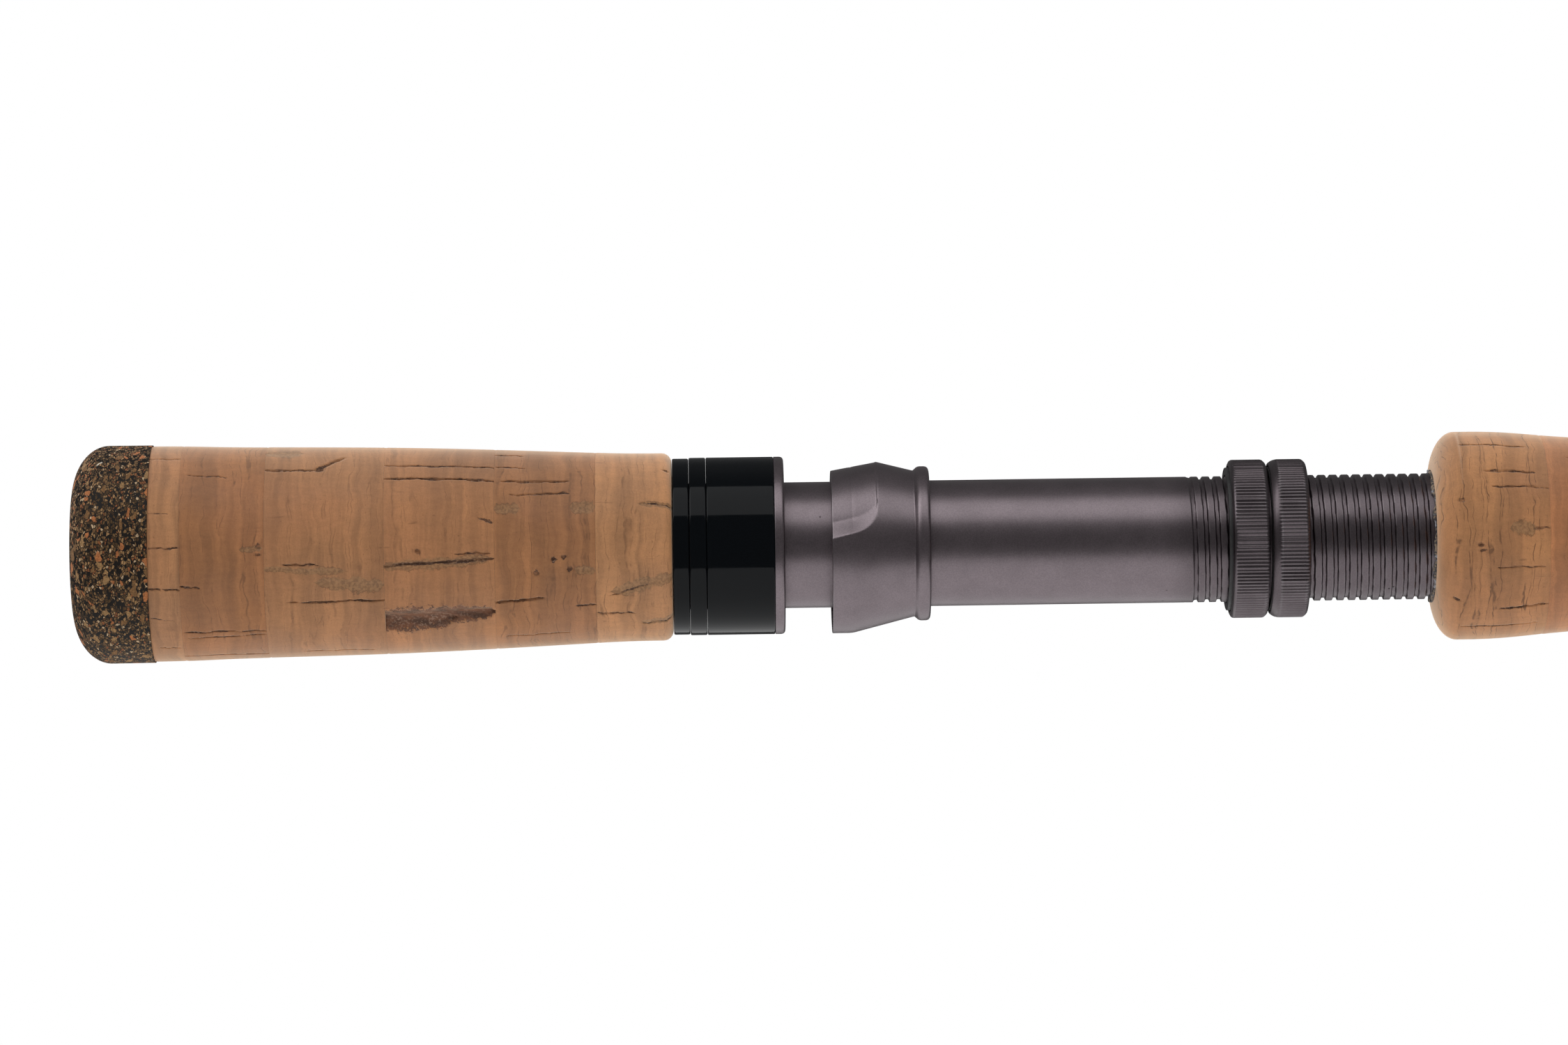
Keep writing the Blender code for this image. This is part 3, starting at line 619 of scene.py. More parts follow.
@finish_once
def nylon_finish():
    """Machined black nylon, faintly mottled and lined."""
    recipe = Recipe("black_nylon")
    lines = recipe.noise(1.0, 2.0, (7000.0, 90.0, 90.0))
    mottle = recipe.noise(1300.0, 3.0)
    return recipe.finish(
        Base_Color=recipe.blend(mottle, (0.012, 0.012, 0.013), (0.028, 0.027, 0.027)),
        Roughness=recipe.between(mottle, 0.3, 0.7, 0.42, 0.58),
        Normal=recipe.bump(lines, 0.015 * MM, 0.4),
    )


@finish_once
def blank_finish():
    """Rolled carbon under clear coat, with the tape's helical lines just showing."""
    looks = bpy.context.scene.rod_blank
    recipe = Recipe("clear_coated_carbon")
    fibre = recipe.noise(1.0, 3.0, (110.0, 3200.0, 3200.0))
    cloud = recipe.noise(130.0, 3.0)
    colour = recipe.blend(recipe.between(fibre, 0.35, 0.7), looks.carbon_colour, looks.fibre_colour)
    colour = recipe.shade(colour, recipe.between(cloud, 0.3, 0.7, 0.8, 1.2))
    return recipe.finish(
        Base_Color=colour,
        Roughness=recipe.between(fibre, 0.3, 0.7, 0.30, 0.42),
        Coat_Weight=1.0,
        Coat_Roughness=0.06,
        Normal=recipe.bump(recipe.noise(700.0, 2.0), 0.01 * MM, 0.2),
    )


@finish_once
def ground_carbon_finish():
    """Bare ground carbon of the spigot, with fine rings left by the grinding belt."""
    recipe = Recipe("ground_carbon")
    rings = recipe.noise(1.0, 3.0, (4200.0, 70.0, 70.0))
    fibre = recipe.noise(1.0, 3.0, (160.0, 2600.0, 2600.0))
    mixed = rings * 0.6 + fibre * 0.4
    tone = recipe.between(mixed, 0.35, 0.65)
    return recipe.finish(
        Base_Color=recipe.blend(tone, (0.018, 0.019, 0.020), (0.055, 0.056, 0.058)),
        Roughness=recipe.between(rings, 0.3, 0.7, 0.35, 0.5),
        Normal=recipe.bump(rings, 0.02 * MM, 0.4),
    )


@finish_once
def binding_finish():
    """Thread under epoxy: fine turns of dark silk with a metallic band at each end."""
    looks = bpy.context.scene.rod_binding
    recipe = Recipe("bound_thread")
    along = recipe.add("ShaderNodeSeparateXYZ", {0: recipe.place}).outputs[0]
    turns = recipe.math("SINE", recipe.math("MULTIPLY", along, math.tau / looks.thread_width))
    lit = recipe.between(turns, -1.0, 1.0)
    tone = recipe.noise(900.0, 2.0)
    thread = recipe.blend(lit, looks.thread_shadow, looks.thread_colour)
    thread = recipe.shade(thread, recipe.between(tone, 0.3, 0.7, 0.8, 1.2))
    band = recipe.shade(looks.band_colour, recipe.between(lit, 0.0, 1.0, 0.55, 1.1))
    colour = recipe.blend(recipe.between(recipe.attribute("band"), 0.4, 0.6), thread, band)
    return recipe.finish(
        Base_Color=colour,
        Roughness=recipe.between(tone, 0.3, 0.7, 0.38, 0.5),
        Coat_Weight=1.0,
        Coat_Roughness=0.04,
        Normal=recipe.bump(lit, 0.02 * MM, 0.35),
    )


@finish_once
def guide_steel_finish():
    """Dark-plated steel wire, satin, with polished high spots."""
    recipe = Recipe("plated_steel")
    grit = recipe.noise(3800.0, 2.0)
    cloud = recipe.noise(260.0, 3.0)
    return recipe.finish(
        Base_Color=recipe.blend(cloud, (0.20, 0.20, 0.21), (0.33, 0.33, 0.34)),
        Metallic=1.0,
        Roughness=recipe.between(grit, 0.3, 0.7, 0.20, 0.32),
        Normal=recipe.bump(grit, 0.01 * MM, 0.25),
    )


@finish_once
def guide_ceramic_finish():
    """Polished grey ceramic of the guide's insert."""
    recipe = Recipe("polished_ceramic")
    cloud = recipe.noise(600.0, 4.0)
    return recipe.finish(
        Base_Color=recipe.blend(cloud, (0.022, 0.022, 0.026), (0.055, 0.055, 0.06)),
        Roughness=recipe.between(cloud, 0.3, 0.7, 0.05, 0.12),
        Normal=recipe.bump(recipe.noise(1800.0, 2.0), 0.005 * MM, 0.2),
    )


@finish_once
def foam_finish():
    """Rigid foam of the arbors, full of small open cells."""
    recipe = Recipe("rigid_foam")
    cell = recipe.cells(1900.0)
    hole = recipe.between(cell.outputs["Distance"], 0.15, 0.5)
    cloud = recipe.noise(300.0, 3.0)
    colour = recipe.blend(hole, (0.30, 0.26, 0.19), (0.56, 0.50, 0.40))
    return recipe.finish(
        Base_Color=recipe.shade(colour, recipe.between(cloud, 0.3, 0.7, 0.9, 1.1)),
        Roughness=recipe.between(hole, 0.0, 1.0, 0.95, 0.8),
        Normal=recipe.bump(hole, 0.1 * MM, 0.6),
    )


@finish_once
def glue_finish():
    """Grey epoxy squeezed from the grip's bore, with cork dust stuck in it."""
    recipe = Recipe("dusty_epoxy")
    dust = recipe.between(recipe.noise(2400.0, 4.0), 0.42, 0.6)
    cloud = recipe.noise(700.0, 3.0)
    colour = recipe.blend(dust, (0.035, 0.035, 0.040), (0.25, 0.20, 0.15))
    colour = recipe.blend(recipe.between(cloud, 0.56, 0.66), colour, (0.30, 0.31, 0.34))
    return recipe.finish(
        Base_Color=colour,
        Roughness=recipe.between(dust, 0.0, 1.0, 0.35, 0.85),
        Normal=recipe.bump(dust, 0.1 * MM, 0.7),
    )


@finish_once
def floor_finish():
    """Pale studio paper with a faint tooth."""
    looks = bpy.context.scene.rod_stage
    recipe = Recipe("studio_paper")
    tooth = recipe.noise(900.0, 3.0)
    colour = recipe.shade(looks.floor_colour, recipe.between(tooth, 0.3, 0.7, 0.985, 1.0))
    return recipe.finish(Base_Color=colour, Roughness=0.9, Specular_IOR_Level=0.1)


# ---- Cork --------------------------------------------------------------------------------


def grip_radius(nodes, end_margin):
    """Function of x that gives a grip's radius, from its rings' vertices, smoothed along the rod."""
    stations = widest_at(nodes, 6)
    places = np.array(sorted(stations))
    inner = places[(places > places[0] + end_margin) & (places < places[-1] - end_margin)]
    values = np.array([stations[place] for place in inner])
    window = np.linspace(-4.0 * MM, 4.0 * MM, 9)

    def radius_at(x):
        return float(np.interp(x + window, inner, values).mean())

    return radius_at


def cork_section(span, end, radius_at, spacing, rear_corner=None, front_corner=None):
    """Closed section of one cork ring: its rear face, outer surface, front face and bore."""
    edge = 0.05 * MM
    outer = []
    first = span.start
    last = end
    if rear_corner:
        length, height = rear_corner
        first = span.start + length
        outer += quarter((first, radius_at(first) - height), length, height, 180.0, 16)
    if front_corner:
        last = end - front_corner[0]
    rows = max(2, math.ceil((last - first) / spacing))
    for k in range(rows + 1):
        x = first + (last - first) * k / rows
        at_seam = (k == 0 and not rear_corner) or (k == rows and not front_corner)
        outer.append((x, radius_at(x) - (edge if at_seam else 0.0), 0.0))
    if front_corner:
        length, height = front_corner
        outer += quarter((last, radius_at(last) - height), length, height, 90.0, 6)[1:]
    rear_face = []
    if rear_corner:
        rim = outer[0][1]
        steps = 14
        for k in range(steps):
            rear_face.append((span.start, span.bore + (rim - span.bore) * k / steps, 0.0))
    else:
        rear_face.append((span.start, span.bore, 0.0))
    return rear_face + outer + [(end, span.bore, 0.0)]


def mark_field(turned, mark, start, end, rng):
    """1 in the middle of a mark, 0 at its rim and less outside it."""
    along = ((turned.x - start) / (end - start) - mark.begin) / (mark.end - mark.begin)
    wave = (smooth_noise(rng, 7, along) + 0.5 * smooth_noise(rng, 19, along)) * 0.13 * MM
    narrow = 0.6
    roughness = 1.0 if mark.width < narrow else 0.5
    swell = 1.0 + roughness * (0.45 * smooth_noise(rng, 9, along) + 0.25 * smooth_noise(rng, 29, along))
    taper = np.sqrt(np.clip(1.0 - np.abs(2.0 * along - 1.0) ** 5, 0.0, 1.0))
    half = 0.65 * mark.width * MM * swell * (0.25 + 0.75 * taper)
    centre = math.radians(mark.angle) + math.radians(mark.drift) * (along - 0.5)
    across = np.abs(turned.turn_from(centre) * turned.r + wave)
    ends = np.clip(np.maximum(-along, along - 1.0) * 12.0, 0.0, 2.0)
    return np.clip(1.0 - across / half - ends, -1.0, 1.0)


def scattered_marks(rng, from_angle, to_angle, count):
    """Small crevices and filled patches at random, some of them as long as the ring."""
    marks = []
    for _ in range(count):
        kind = "filler" if rng.random() < 0.22 else "crevice"
        reach = rng.choice((0.12, 0.3, 0.6, 1.0))
        begin = rng.uniform(0.0, 1.0 - reach)
        width = rng.uniform(0.14, 0.38) if kind == "crevice" else rng.uniform(0.5, 1.2)
        angle = rng.uniform(from_angle, to_angle)
        marks.append(Mark(angle, begin, begin + reach, width, rng.uniform(-2.0, 2.0), 0.3, kind))
    return marks


def dot(angle, along, width, depth=0.3):
    """Mark for a small dark knot, about as long as it is wide."""
    return Mark(angle, along - 0.028, along + 0.028, width, 0.0, depth)


# Angles are degrees from the top, down the near side; places are shares of the ring's length.
REAR_MARKS = (
    (
        Mark(29, 0.0, 1.0, 0.18, 0, 0.2), Mark(68, 0.0, 0.7, 0.12, 1, 0.1),
        Mark(87, 0.0, 1.0, 0.26, 0, 0.3), Mark(109, 0.0, 1.0, 0.30, 1, 0.3),
        Mark(127, 0.0, 0.8, 0.14, 2, 0.1), Mark(150, 0.2, 1.0, 0.16, 0, 0.2),
    ),
    (
        Mark(44, 0.10, 0.55, 0.22, 1, 0.2), Mark(108, 0.0, 0.24, 0.28, 1, 0.3),
        dot(87, 0.93, 0.9), dot(91, 0.93, 0.5), Mark(88, 0.72, 0.98, 0.7, 0, 0.1, "filler"),
        Mark(137, 0.0, 1.0, 0.24, 0, 0.25), Mark(141, 0.05, 1.0, 0.20, -1, 0.2),
        Mark(162, 0.0, 1.0, 0.26, 1, 0.2),
    ),
    (
        Mark(39, 0.0, 0.46, 0.40, 0, 0.3), Mark(33, 0.43, 0.66, 0.65, -13, 0.45),
        dot(38.5, 0.46, 1.1, 0.5), Mark(21, 0.0, 0.3, 2.2, 0, 0.05, "filler"),
        Mark(97, 0.17, 0.44, 0.34, 0, 0.35), Mark(100, 0.0, 0.66, 0.9, 2, 0.05, "filler"),
        Mark(108, 0.44, 1.0, 1.7, 2, 0.08, "filler"), Mark(118, 0.22, 1.0, 0.28, 0, 0.3),
        Mark(160, 0.3, 0.9, 0.2, 1, 0.2),
    ),
    (
        Mark(35, 0.0, 1.0, 0.30, 0, 0.3), Mark(46, 0.0, 1.0, 0.42, 1, 0.35),
        Mark(73, 0.85, 1.0, 0.35, 3, 0.2), dot(90.5, 0.31, 0.75, 0.4),
        Mark(92, 0.66, 0.97, 0.30, 0, 0.3), Mark(97, 0.0, 1.0, 0.42, -3, 0.35),
        Mark(97, 0.0, 0.95, 1.3, -3, 0.05, "filler"), Mark(132.5, -0.3, 0.62, 3.5, -1, 0.9),
        Mark(129, 0.3, 0.98, 2.6, -2, 0.7),
    ),
    (
        Mark(20, 0.0, 0.3, 0.3, 0, 0.2), Mark(35, 0.0, 0.3, 0.22, 0, 0.2),
        Mark(47, 0.08, 0.73, 0.42, -1, 0.3), Mark(56, 0.14, 0.76, 0.28, -2, 0.25),
        Mark(66, 0.0, 0.24, 1.4, 0, 0.06, "filler"), Mark(65, 0.76, 1.0, 1.7, 0, 0.06, "filler"),
        dot(96, 0.58, 0.8, 0.4), dot(95, 0.68, 0.6, 0.3),
        dot(104, 0.41, 0.8, 0.3), dot(102, 0.74, 0.7, 0.3),
        Mark(103, 0.80, 1.0, 1.1, 0, 0.1, "filler"), Mark(121, 0.0, 0.48, 0.46, -2, 0.4),
        Mark(126, 0.80, 1.0, 0.3, 0, 0.2), Mark(150, 0.1, 0.7, 0.2, 0, 0.2),
    ),
    (
        dot(35, 0.93, 0.5, 0.3), Mark(63, 0.58, 1.0, 0.8, 2, 0.15, "filler"),
        Mark(63, 0.62, 1.0, 0.26, 2, 0.25), Mark(113, 0.22, 1.0, 1.6, -8, 0.08, "filler"),
        Mark(116, 0.20, 0.7, 0.24, -7, 0.25), Mark(133, 0.0, 0.5, 0.28, 1, 0.25),
        Mark(141, 0.6, 1.0, 1.0, -3, 0.08, "filler"), Mark(142, 0.62, 1.0, 0.2, -3, 0.2),
    ),
)
FRONT_MARKS = (
    (
        Mark(52, 0.44, 0.88, 0.36, 1, 0.25), Mark(62, 0.48, 0.98, 0.34, 0, 0.25),
        Mark(86, 0.64, 0.86, 1.8, 0, 0.06, "filler"), Mark(86, 0.84, 0.99, 0.40, 0, 0.3),
        dot(95, 0.37, 0.7, 0.4), dot(98, 0.39, 0.5, 0.3), Mark(108, 0.50, 0.96, 0.24, 1, 0.2),
        Mark(134, 0.55, 0.98, 0.34, -2, 0.3), Mark(30, 0.2, 0.8, 0.24, 1, 0.2),
        dot(70, 0.20, 0.6, 0.3), dot(128, 0.15, 0.6, 0.3), Mark(150, 0.2, 0.9, 0.2, 0, 0.2),
    ),
)


def cork_ring(name, node, section, span, end, tint, grain, marks, columns, seed):
    """One cork ring with its crevices cut in, its tint, and how strongly its growth lines show."""
    rng = np.random.default_rng(seed)
    turned = Turned(section, columns)
    crevice = np.full(turned.x.shape, -1.0)
    void = np.zeros(turned.x.shape)
    filler = np.full(turned.x.shape, -1.0)
    depth = np.zeros(turned.x.shape)
    outside = turned.r > span.bore + 2.0 * MM
    torn_width = 1.5
    for mark in marks:
        field = mark_field(turned, mark, span.start, end, rng)
        if mark.kind == "filler":
            filler = np.maximum(filler, field)
        else:
            crevice = np.maximum(crevice, field)
            if mark.width > torn_width:
                void = np.maximum(void, (field > -0.3) * 1.0)
        depth = np.maximum(depth, smoothstep(field) * mark.depth * MM)
    waves = smooth_noise(rng, 60, turned.angle / math.tau * np.ones(turned.x.shape)) * 0.015 * MM
    turned.r = turned.r - np.where(outside, depth + waves, 0.0)
    growth = np.full(turned.x.shape, grain)
    turned.attributes = {"crevice": crevice, "filler": filler, "void": void, "grain": growth}
    piece = turned_piece(name, turned, cork_finish(), node, sharp=60.0)
    layer = piece.data.attributes.new("tint", "FLOAT_COLOR", "POINT")
    layer.data.foreach_set("color", np.tile((*tint, 1.0), len(piece.data.vertices)).astype(np.float32))
    return piece


def cork_grip(stem, label, shades, grains, marks, rear_corner, front_corner, finish_at, seed):
    """A row of cork rings, with near-closed glue seams, that ends at finish_at.

    Each ring's shade multiplies the cork's colour. The rings past the listed marks have
    scattered ones, and those a ring further on have fewer points as well.
    """
    settings = bpy.context.scene.rod_cork
    tints = [np.array(settings.base_colour) * np.array(shade) for shade in shades]
    nodes = numbered_nodes(stem)
    radius_at = grip_radius(nodes, 4.0 * MM)
    spans = [span_of(node) for node in nodes]
    for i, node in enumerate(nodes):
        rng = np.random.default_rng(seed + i)
        last = i == len(nodes) - 1
        span = spans[i]
        end = finish_at if last else spans[i + 1].start - SEAM
        chosen = marks[i] if i < len(marks) else scattered_marks(rng, 0.0, 180.0, 6)
        chosen = list(chosen) + scattered_marks(rng, 180.0, 360.0, 7)
        fine = i < len(marks) + 1
        section = cork_section(
            span, end, radius_at, settings.row_spacing * (1.0 if fine else 1.8),
            rear_corner if i == 0 else None, front_corner if last else None,
        )
        tint = tints[i] if i < len(tints) else np.array(tints[-1]) * rng.uniform(0.86, 1.06, 3).mean()
        grain = grains[i] if i < len(grains) else rng.uniform(0.4, 0.8)
        cork_ring(
            f"{label}_{i + 1}", node, section, span, end, tint, grain, chosen,
            settings.columns if fine else settings.columns // 2, seed * 31 + i,
        )


# ---- Settings ----------------------------------------------------------------------------


def length_setting(name, description, millimetres):
    return FloatProperty(
        name=name, description=description, default=millimetres * MM, min=0.0, precision=5, unit="LENGTH",
    )


def number_setting(name, description, default, **limits):
    return FloatProperty(name=name, description=description, default=default, **limits)


def count_setting(name, description, default, least):
    return IntProperty(name=name, description=description, default=default, min=least)


def colour_setting(name, description, colour):
    return FloatVectorProperty(
        name=name, description=description, default=colour, size=3, min=0.0, max=1.0, subtype="COLOR",
    )


class CorkSettings(bpy.types.PropertyGroup):
    row_spacing: length_setting("Row spacing", "Distance between a ring's rows of points", 0.3)
    columns: count_setting("Columns", "Points round a cork ring", 640, 24)
    rear_front_corner: length_setting("Front corner", "Rounding of the rear grip's front end", 1.5)
    fore_rear_length: length_setting("Corner length", "Length of the foregrip's rear rounding", 3.6)
    fore_rear_height: length_setting("Corner height", "Height of the foregrip's rear rounding", 6.0)
    fore_front_corner: length_setting("Tip corner", "Rounding of the foregrip's front end", 1.0)
    base_colour: colour_setting("Cork", "Sanded cork", (0.390, 0.176, 0.069))
    line_colour: colour_setting("Growth lines", "Growth lines and pores", (0.135, 0.055, 0.020))
    crevice_colour: colour_setting("Crevices", "Inside of the open crevices", (0.050, 0.018, 0.008))
    void_colour: colour_setting("Voids", "Torn cork inside the widest openings", (0.15, 0.050, 0.018))
    crumb_colour: colour_setting("Crumbs", "Loose cork in the crevices", (0.30, 0.18, 0.12))
    filler_colour: colour_setting("Filler", "Cork-dust filler in closed voids", (0.275, 0.150, 0.064))
    blush_colour: colour_setting("Blush", "Redder areas of the cork", (0.40, 0.158, 0.066))


class CapSettings(bpy.types.PropertyGroup):
    flat_radius: length_setting("Flat radius", "Radius of the flat on the cap's end", 4.0)
    dome_radius: length_setting("Dome radius", "Where the shallow dome meets the corner", 9.0)
    dome_height: length_setting("Dome height", "Height of the shallow dome", 0.28)
    corner_length: length_setting("Corner length", "Length of the cap's broad corner", 5.6)
    binder_colour: colour_setting("Binder", "Rubber between the granules", (0.010, 0.007, 0.005))
    rust_colour: colour_setting("Rust granules", "The reddest granules", (0.36, 0.13, 0.045))


class TrimSettings(bpy.types.PropertyGroup):
    edge_round: length_setting("Edge rounding", "Rounding of the trim rings and the sleeve", 0.28)
    gloss_colour: colour_setting("Gloss black", "Trim rings and sleeve", (0.0016, 0.0024, 0.0034))
    gloss_roughness: number_setting("Gloss roughness", "Roughness of the polish", 0.07, min=0.0, max=1.0)


class MetalSettings(bpy.types.PropertyGroup):
    columns: count_setting("Columns", "Points round a metal piece", 240, 24)
    thread_start: length_setting("Thread start", "Where the barrel's thread begins", 60.2)
    thread_end: length_setting("Thread end", "Where the barrel's thread ends", 103.0)
    thread_pitch: length_setting("Thread pitch", "Travel of a nut for one turn", 1.75)
    thread_depth: length_setting("Thread depth", "Depth of the thread's groove", 0.42)
    flange_length: length_setting("Flange length", "Width of the fixed hood's flange", 1.5)
    flange_round: length_setting("Flange rounding", "Rounding of the flange's front edge", 0.7)
    fixed_pocket_radius: length_setting("Fixed pocket", "Radius of the fixed hood's foot pocket", 12.2)
    fixed_pocket_depth: length_setting("Fixed pocket depth", "Depth of the fixed hood's pocket", 10.0)
    hood_wall: length_setting("Hood wall", "Wall over the sliding hood's foot pocket", 0.65)
    hood_pocket_depth: length_setting("Hood pocket depth", "Depth of the sliding hood's pocket", 9.4)
    relief_top: length_setting("Relief top", "Half the relief's height at the hood's mouth", 11.15)
    relief_side: length_setting("Relief side", "Half the width of the hood's relief", 12.1)
    relief_slope: number_setting("Relief slope", "Rise of the relief's top", 0.177)
    relief_length: length_setting("Relief length", "Length of the hood's relieved side", 7.0)
    relief_edge: number_setting("Relief edge", "Degrees from the side to its edge, at the mouth", 4.0)
    relief_edge_rise: number_setting("Relief rise", "Degrees more at its front", 12.0)
    relief_flank: number_setting("Relief flank", "Height of its flank in degrees", 12.0)
    nut_flutes: count_setting("Knurl lines", "Grooves round each lock nut", 126, 8)
    nut_groove: length_setting("Knurl depth", "Depth of the knurl's grooves", 0.13)
    nut_shoulder: length_setting("Nut shoulder", "Plain rounded shoulder at a nut's rear end", 0.9)
    metal_colour: colour_setting("Gunmetal", "Anodised metal", (0.205, 0.172, 0.186))
    worn_colour: colour_setting("Worn edges", "Metal where the edges are rubbed", (0.34, 0.32, 0.33))
    # painted shade: how much the thread and knurl are darkened, standing in for the shade in their
    # grooves
    groove_shade: number_setting("Groove_shade", "Darkening of thread and knurl", 0.33, min=0.0, max=0.7)
    roughness: number_setting("Roughness", "Roughness of the blasted metal", 0.36, min=0.0, max=1.0)


class BlankSettings(bpy.types.PropertyGroup):
    tape_pitch: length_setting("Tape pitch", "Spacing of the helical tape lines", 2.6)
    tape_height: length_setting("Tape height", "Height of the tape lines", 0.02)
    carbon_colour: colour_setting("Carbon", "Ground colour of the blank", (0.010, 0.011, 0.012))
    fibre_colour: colour_setting("Fibre", "Brighter fibres along the blank", (0.034, 0.036, 0.039))


class BindingSettings(bpy.types.PropertyGroup):
    thickness: length_setting("Thickness", "Thread and epoxy together", 0.42)
    end_slope: length_setting("End slope", "Length of the epoxy's slope at each end", 1.3)
    band_length: length_setting("Band length", "Length of the metallic band at each end", 1.1)
    thread_width: length_setting("Thread width", "Width of one turn of thread", 0.25)
    thread_colour: colour_setting("Thread", "Lit side of the thread", (0.040, 0.028, 0.026))
    thread_shadow: colour_setting("Thread shadow", "Between the turns", (0.010, 0.007, 0.007))
    band_colour: colour_setting("Band", "Metallic thread at each end", (0.30, 0.28, 0.26))


class GuideSettings(bpy.types.PropertyGroup):
    wire: length_setting("Wire", "Half the thickness of the frame's wire", 0.8)
    rear_reach: length_setting("Rear reach", "From the ring to the rear legs' knee", 11.0)
    front_reach: length_setting("Front reach", "From the ring to the front leg's knee", 8.0)
    foot_length: length_setting("Foot length", "Length of each flat foot", 15.0)
    skin: length_setting("Skin step", "Fineness of the brazed frame's skin", 0.17)


class StageSettings(bpy.types.PropertyGroup):
    distance: length_setting("Camera distance", "From the camera to the rod's axis", 1150.0)
    aim_x: number_setting("Camera along the rod", "Where the camera stands", -0.013, unit="LENGTH")
    aim_z: number_setting("Camera height", "Above the rod's axis", 0.00362, unit="LENGTH")
    lens: number_setting("Lens", "Focal length in mm", 174.8, min=1.0)
    shift: number_setting("Shift", "Sideways shift of the frame", 0.055)
    roll: number_setting("Roll", "Camera's roll", math.radians(0.81), subtype="ANGLE")
    floor_drop: length_setting("Floor drop", "From the rod's axis down to the floor", 300.0)
    table_radius: length_setting("Table radius", "Near part of the floor, which metal mirrors", 560.0)
    floor_radius: length_setting("Floor radius", "Radius of the whole floor", 2800.0)
    floor_colour: colour_setting("Floor", "Studio paper", (0.86, 0.86, 0.86))
    key_power: number_setting("Key light", "Power in watts of the main soft box", 3.9)
    side_power: number_setting("Side light", "Power in watts of the soft box on the butt's side", 7.5)
    room_front: number_setting("Room in front", "Soft light from the camera's side", 0.25)
    room_behind: number_setting("Room behind", "Soft light from behind the rod", 1.9)
    mirror_front: number_setting("Mirrored in front", "Room that metal mirrors, camera's side", 0.15)
    mirror_behind: number_setting("Mirrored behind", "Room that metal mirrors, behind the rod", 0.10)


SETTINGS = (
    ("rod_cork", CorkSettings), ("rod_cap", CapSettings), ("rod_trim", TrimSettings),
    ("rod_metal", MetalSettings), ("rod_blank", BlankSettings), ("rod_binding", BindingSettings),
    ("rod_guide", GuideSettings), ("rod_stage", StageSettings),
)


# ---- Operators ---------------------------------------------------------------------------


